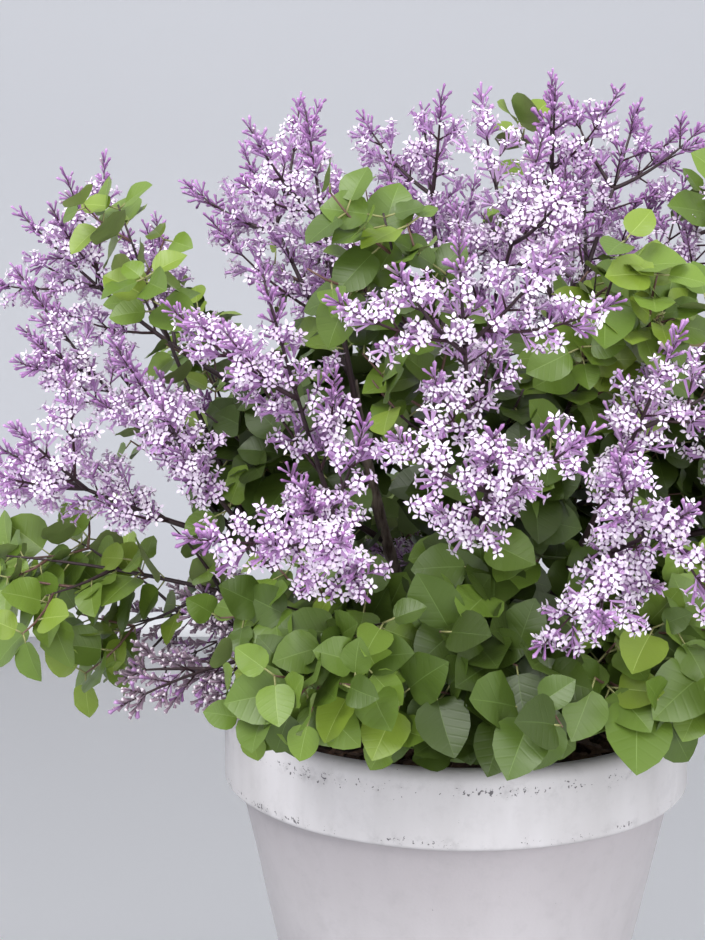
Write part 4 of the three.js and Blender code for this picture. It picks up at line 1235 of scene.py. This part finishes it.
random = seeded_random(4243)
for shoot, mass, path, start, size in panicles:
    bloom, open_to = MASSES[mass].bloom, MASSES[mass].open_to
    reach = length_of(path) * (1 - start)
    loose = bloom in ("mauve", "buds")
    nodes = round(reach / (LOOSE_NODES_APART if loose else NODES_APART))
    phase = next(random) * math.pi
    steps = np.linspace(0 if path is not shoot else start, 1, RACHIS_POINTS)
    radii = np.linspace(RACHIS_RADIUS, RACHIS_TIP * RACHIS_RADIUS, RACHIS_POINTS)
    rachises.append(([point_on(path, t) for t in steps], radii))
    for node in range(nodes + 1):
        u = node / nodes
        t = start + (1 - start) * u
        axis, root = heading(path, t), point_on(path, t)
        opened = u < open_to * by_chance(*OPEN_TO, random)
        young = 0.85 if loose else 1 - 0.4 * max(0, u - open_to)
        if node == nodes:
            cyme(root, axis, axis, TIP_CYME, bloom, opened, young, random)
            continue
        for side in range(2):
            turn = pair_turn(phase, 2 * node + side) + 0.4 * (next(random) - 0.5)
            out = branch_aim(axis, 1.0 - 0.35 * u + 0.3 * (next(random) - 0.5), turn)
            long = max(1.5, size * panicle_outline(u) * 1.25 - 6)
            long = long * by_chance(*BRANCH_LENGTH, random) + (LOOSE_REACH if loose else 0)
            radii = [BRANCH_FOOT * RACHIS_RADIUS, RACHIS_TIP * RACHIS_RADIUS]
            rachises.append(([root, root + out * long], radii))
            clusters = 1 + int(long / (2 * CYMES_APART if loose else CYMES_APART))
            at_end = LOOSE_END_CYME if loose else END_CYME
            for k in range(clusters):
                where = root + out * long * (k + 1) / clusters
                count = at_end if k == clusters - 1 else INNER_CYME
                cyme(where, out, axis, count, bloom, opened, young, random)

shape_random = seeded_random(11)
flower_shapes = [flower_shape(shape_random) for _ in range(FLOWER_SHAPES)]
strewn("flowers", flower_shapes, *flowers, bloom_materials, "foliage")
bud_shapes = [bud_shape(shape_random) for _ in range(BUD_SHAPES)]
strewn("buds", bud_shapes, *buds, bloom_materials, "foliage")
branches = swept("panicle_branches", rachises, RACHIS_SIDES)
placed("panicle_branches", branches, [young_wood("panicle_branch_skin", "#41292f")])

# Floor, backdrop and light --------------------------------------------------
# A studio sweep of painted card, pale where the pot stands and greyer up behind it, under a soft
# overcast light, with a large soft key from the upper left and a fill from the right, in metres.
# The pale floor also gives off a faint painted light that lifts it where the bush shades it.
SWEEP_WIDTH = 8
SWEEP_PROFILE = ((-4, 0), (2.2, 0), (2.2, 4))  # towards the back, and up
SWEEP_BEND = 0.9
BEND_CUTS = 10
TONE_TURNS = (1.0, 1.6)  # behind the pot, where the tone turns from pale to grey
# Emission strength of the floor: painted light that lifts it in the bush's shade.
FLOOR_PAINTED_LIGHT = 0.12
DAYLIGHT, DAYLIGHT_STRENGTH = (0.93, 0.95, 1, 1), 1.08
LIGHTS = (("key", (-1.1, -1.4, 2.3), 1.3, 46), ("fill", (1.2, -2.2, 0.9), 2.0, 36))  # size, watts
LIT_POINT = (0, 0, 0.4)

sweep = bmesh.new()
corners = [sweep.verts.new((-SWEEP_WIDTH / 2, y, z)) for y, z in SWEEP_PROFILE]
edges = [sweep.edges.new(pair) for pair in zip(corners, corners[1:])]
bmesh.ops.bevel(
    sweep, geom=[corners[1]], offset=SWEEP_BEND, offset_type="OFFSET", segments=BEND_CUTS,
    profile=0.5, affect="VERTICES", material=-1,
)
strip = bmesh.ops.extrude_edge_only(sweep, edges=sweep.edges[:])["geom"]
far_side = [part for part in strip if isinstance(part, bmesh.types.BMVert)]
bmesh.ops.translate(sweep, vec=(SWEEP_WIDTH, 0, 0), verts=far_side)
for face in sweep.faces:
    face.smooth = True
mesh = bpy.data.meshes.new("studio_sweep")
sweep.to_mesh(mesh)
sweep.free()
paint, shader = surface("painted_studio_sweep", Roughness=0.9, Emission_Color=(1, 1, 1, 1))
place = add(paint, "TexCoord", {}, "Object")
back = add(paint, "SeparateXYZ", {0: place}, 1)
span = {1: TONE_TURNS[0], 2: TONE_TURNS[1]}
risen = add(paint, "MapRange", {0: back, **span}, interpolation_type="SMOOTHSTEP")
colours = {6: linear("#f2f2f4"), 7: linear("#bbbcc0")}
colour = add(paint, "Mix", {0: risen, **colours}, 2, data_type="RGBA")
# Painted light: the floor emits faintly, fading out as the sweep rises into the wall.
glow = add(paint, "MapRange", {0: risen, 3: FLOOR_PAINTED_LIGHT, 4: 0.0})
paint.node_tree.links.new(colour, shader.inputs["Base Color"])
paint.node_tree.links.new(glow, shader.inputs["Emission Strength"])
mesh.materials.append(paint)
floor = bpy.data.objects.new("studio_sweep", mesh)
bpy.context.scene.collection.objects.link(floor)

world = bpy.data.worlds.new("overcast")
world.use_nodes = True
world.node_tree.nodes["Background"].inputs["Color"].default_value = DAYLIGHT
world.node_tree.nodes["Background"].inputs["Strength"].default_value = DAYLIGHT_STRENGTH
bpy.context.scene.world = world

for name, place, size, power in LIGHTS:
    light = bpy.data.objects.new(name, bpy.data.lights.new(name, "AREA"))
    light.data.energy, light.data.size = power, size
    light.location = place
    light.rotation_euler = (Vector(LIT_POINT) - Vector(place)).to_track_quat("-Z", "Y").to_euler()
    bpy.context.scene.collection.objects.link(light)
bpy.context.scene.view_settings.view_transform = "Standard"
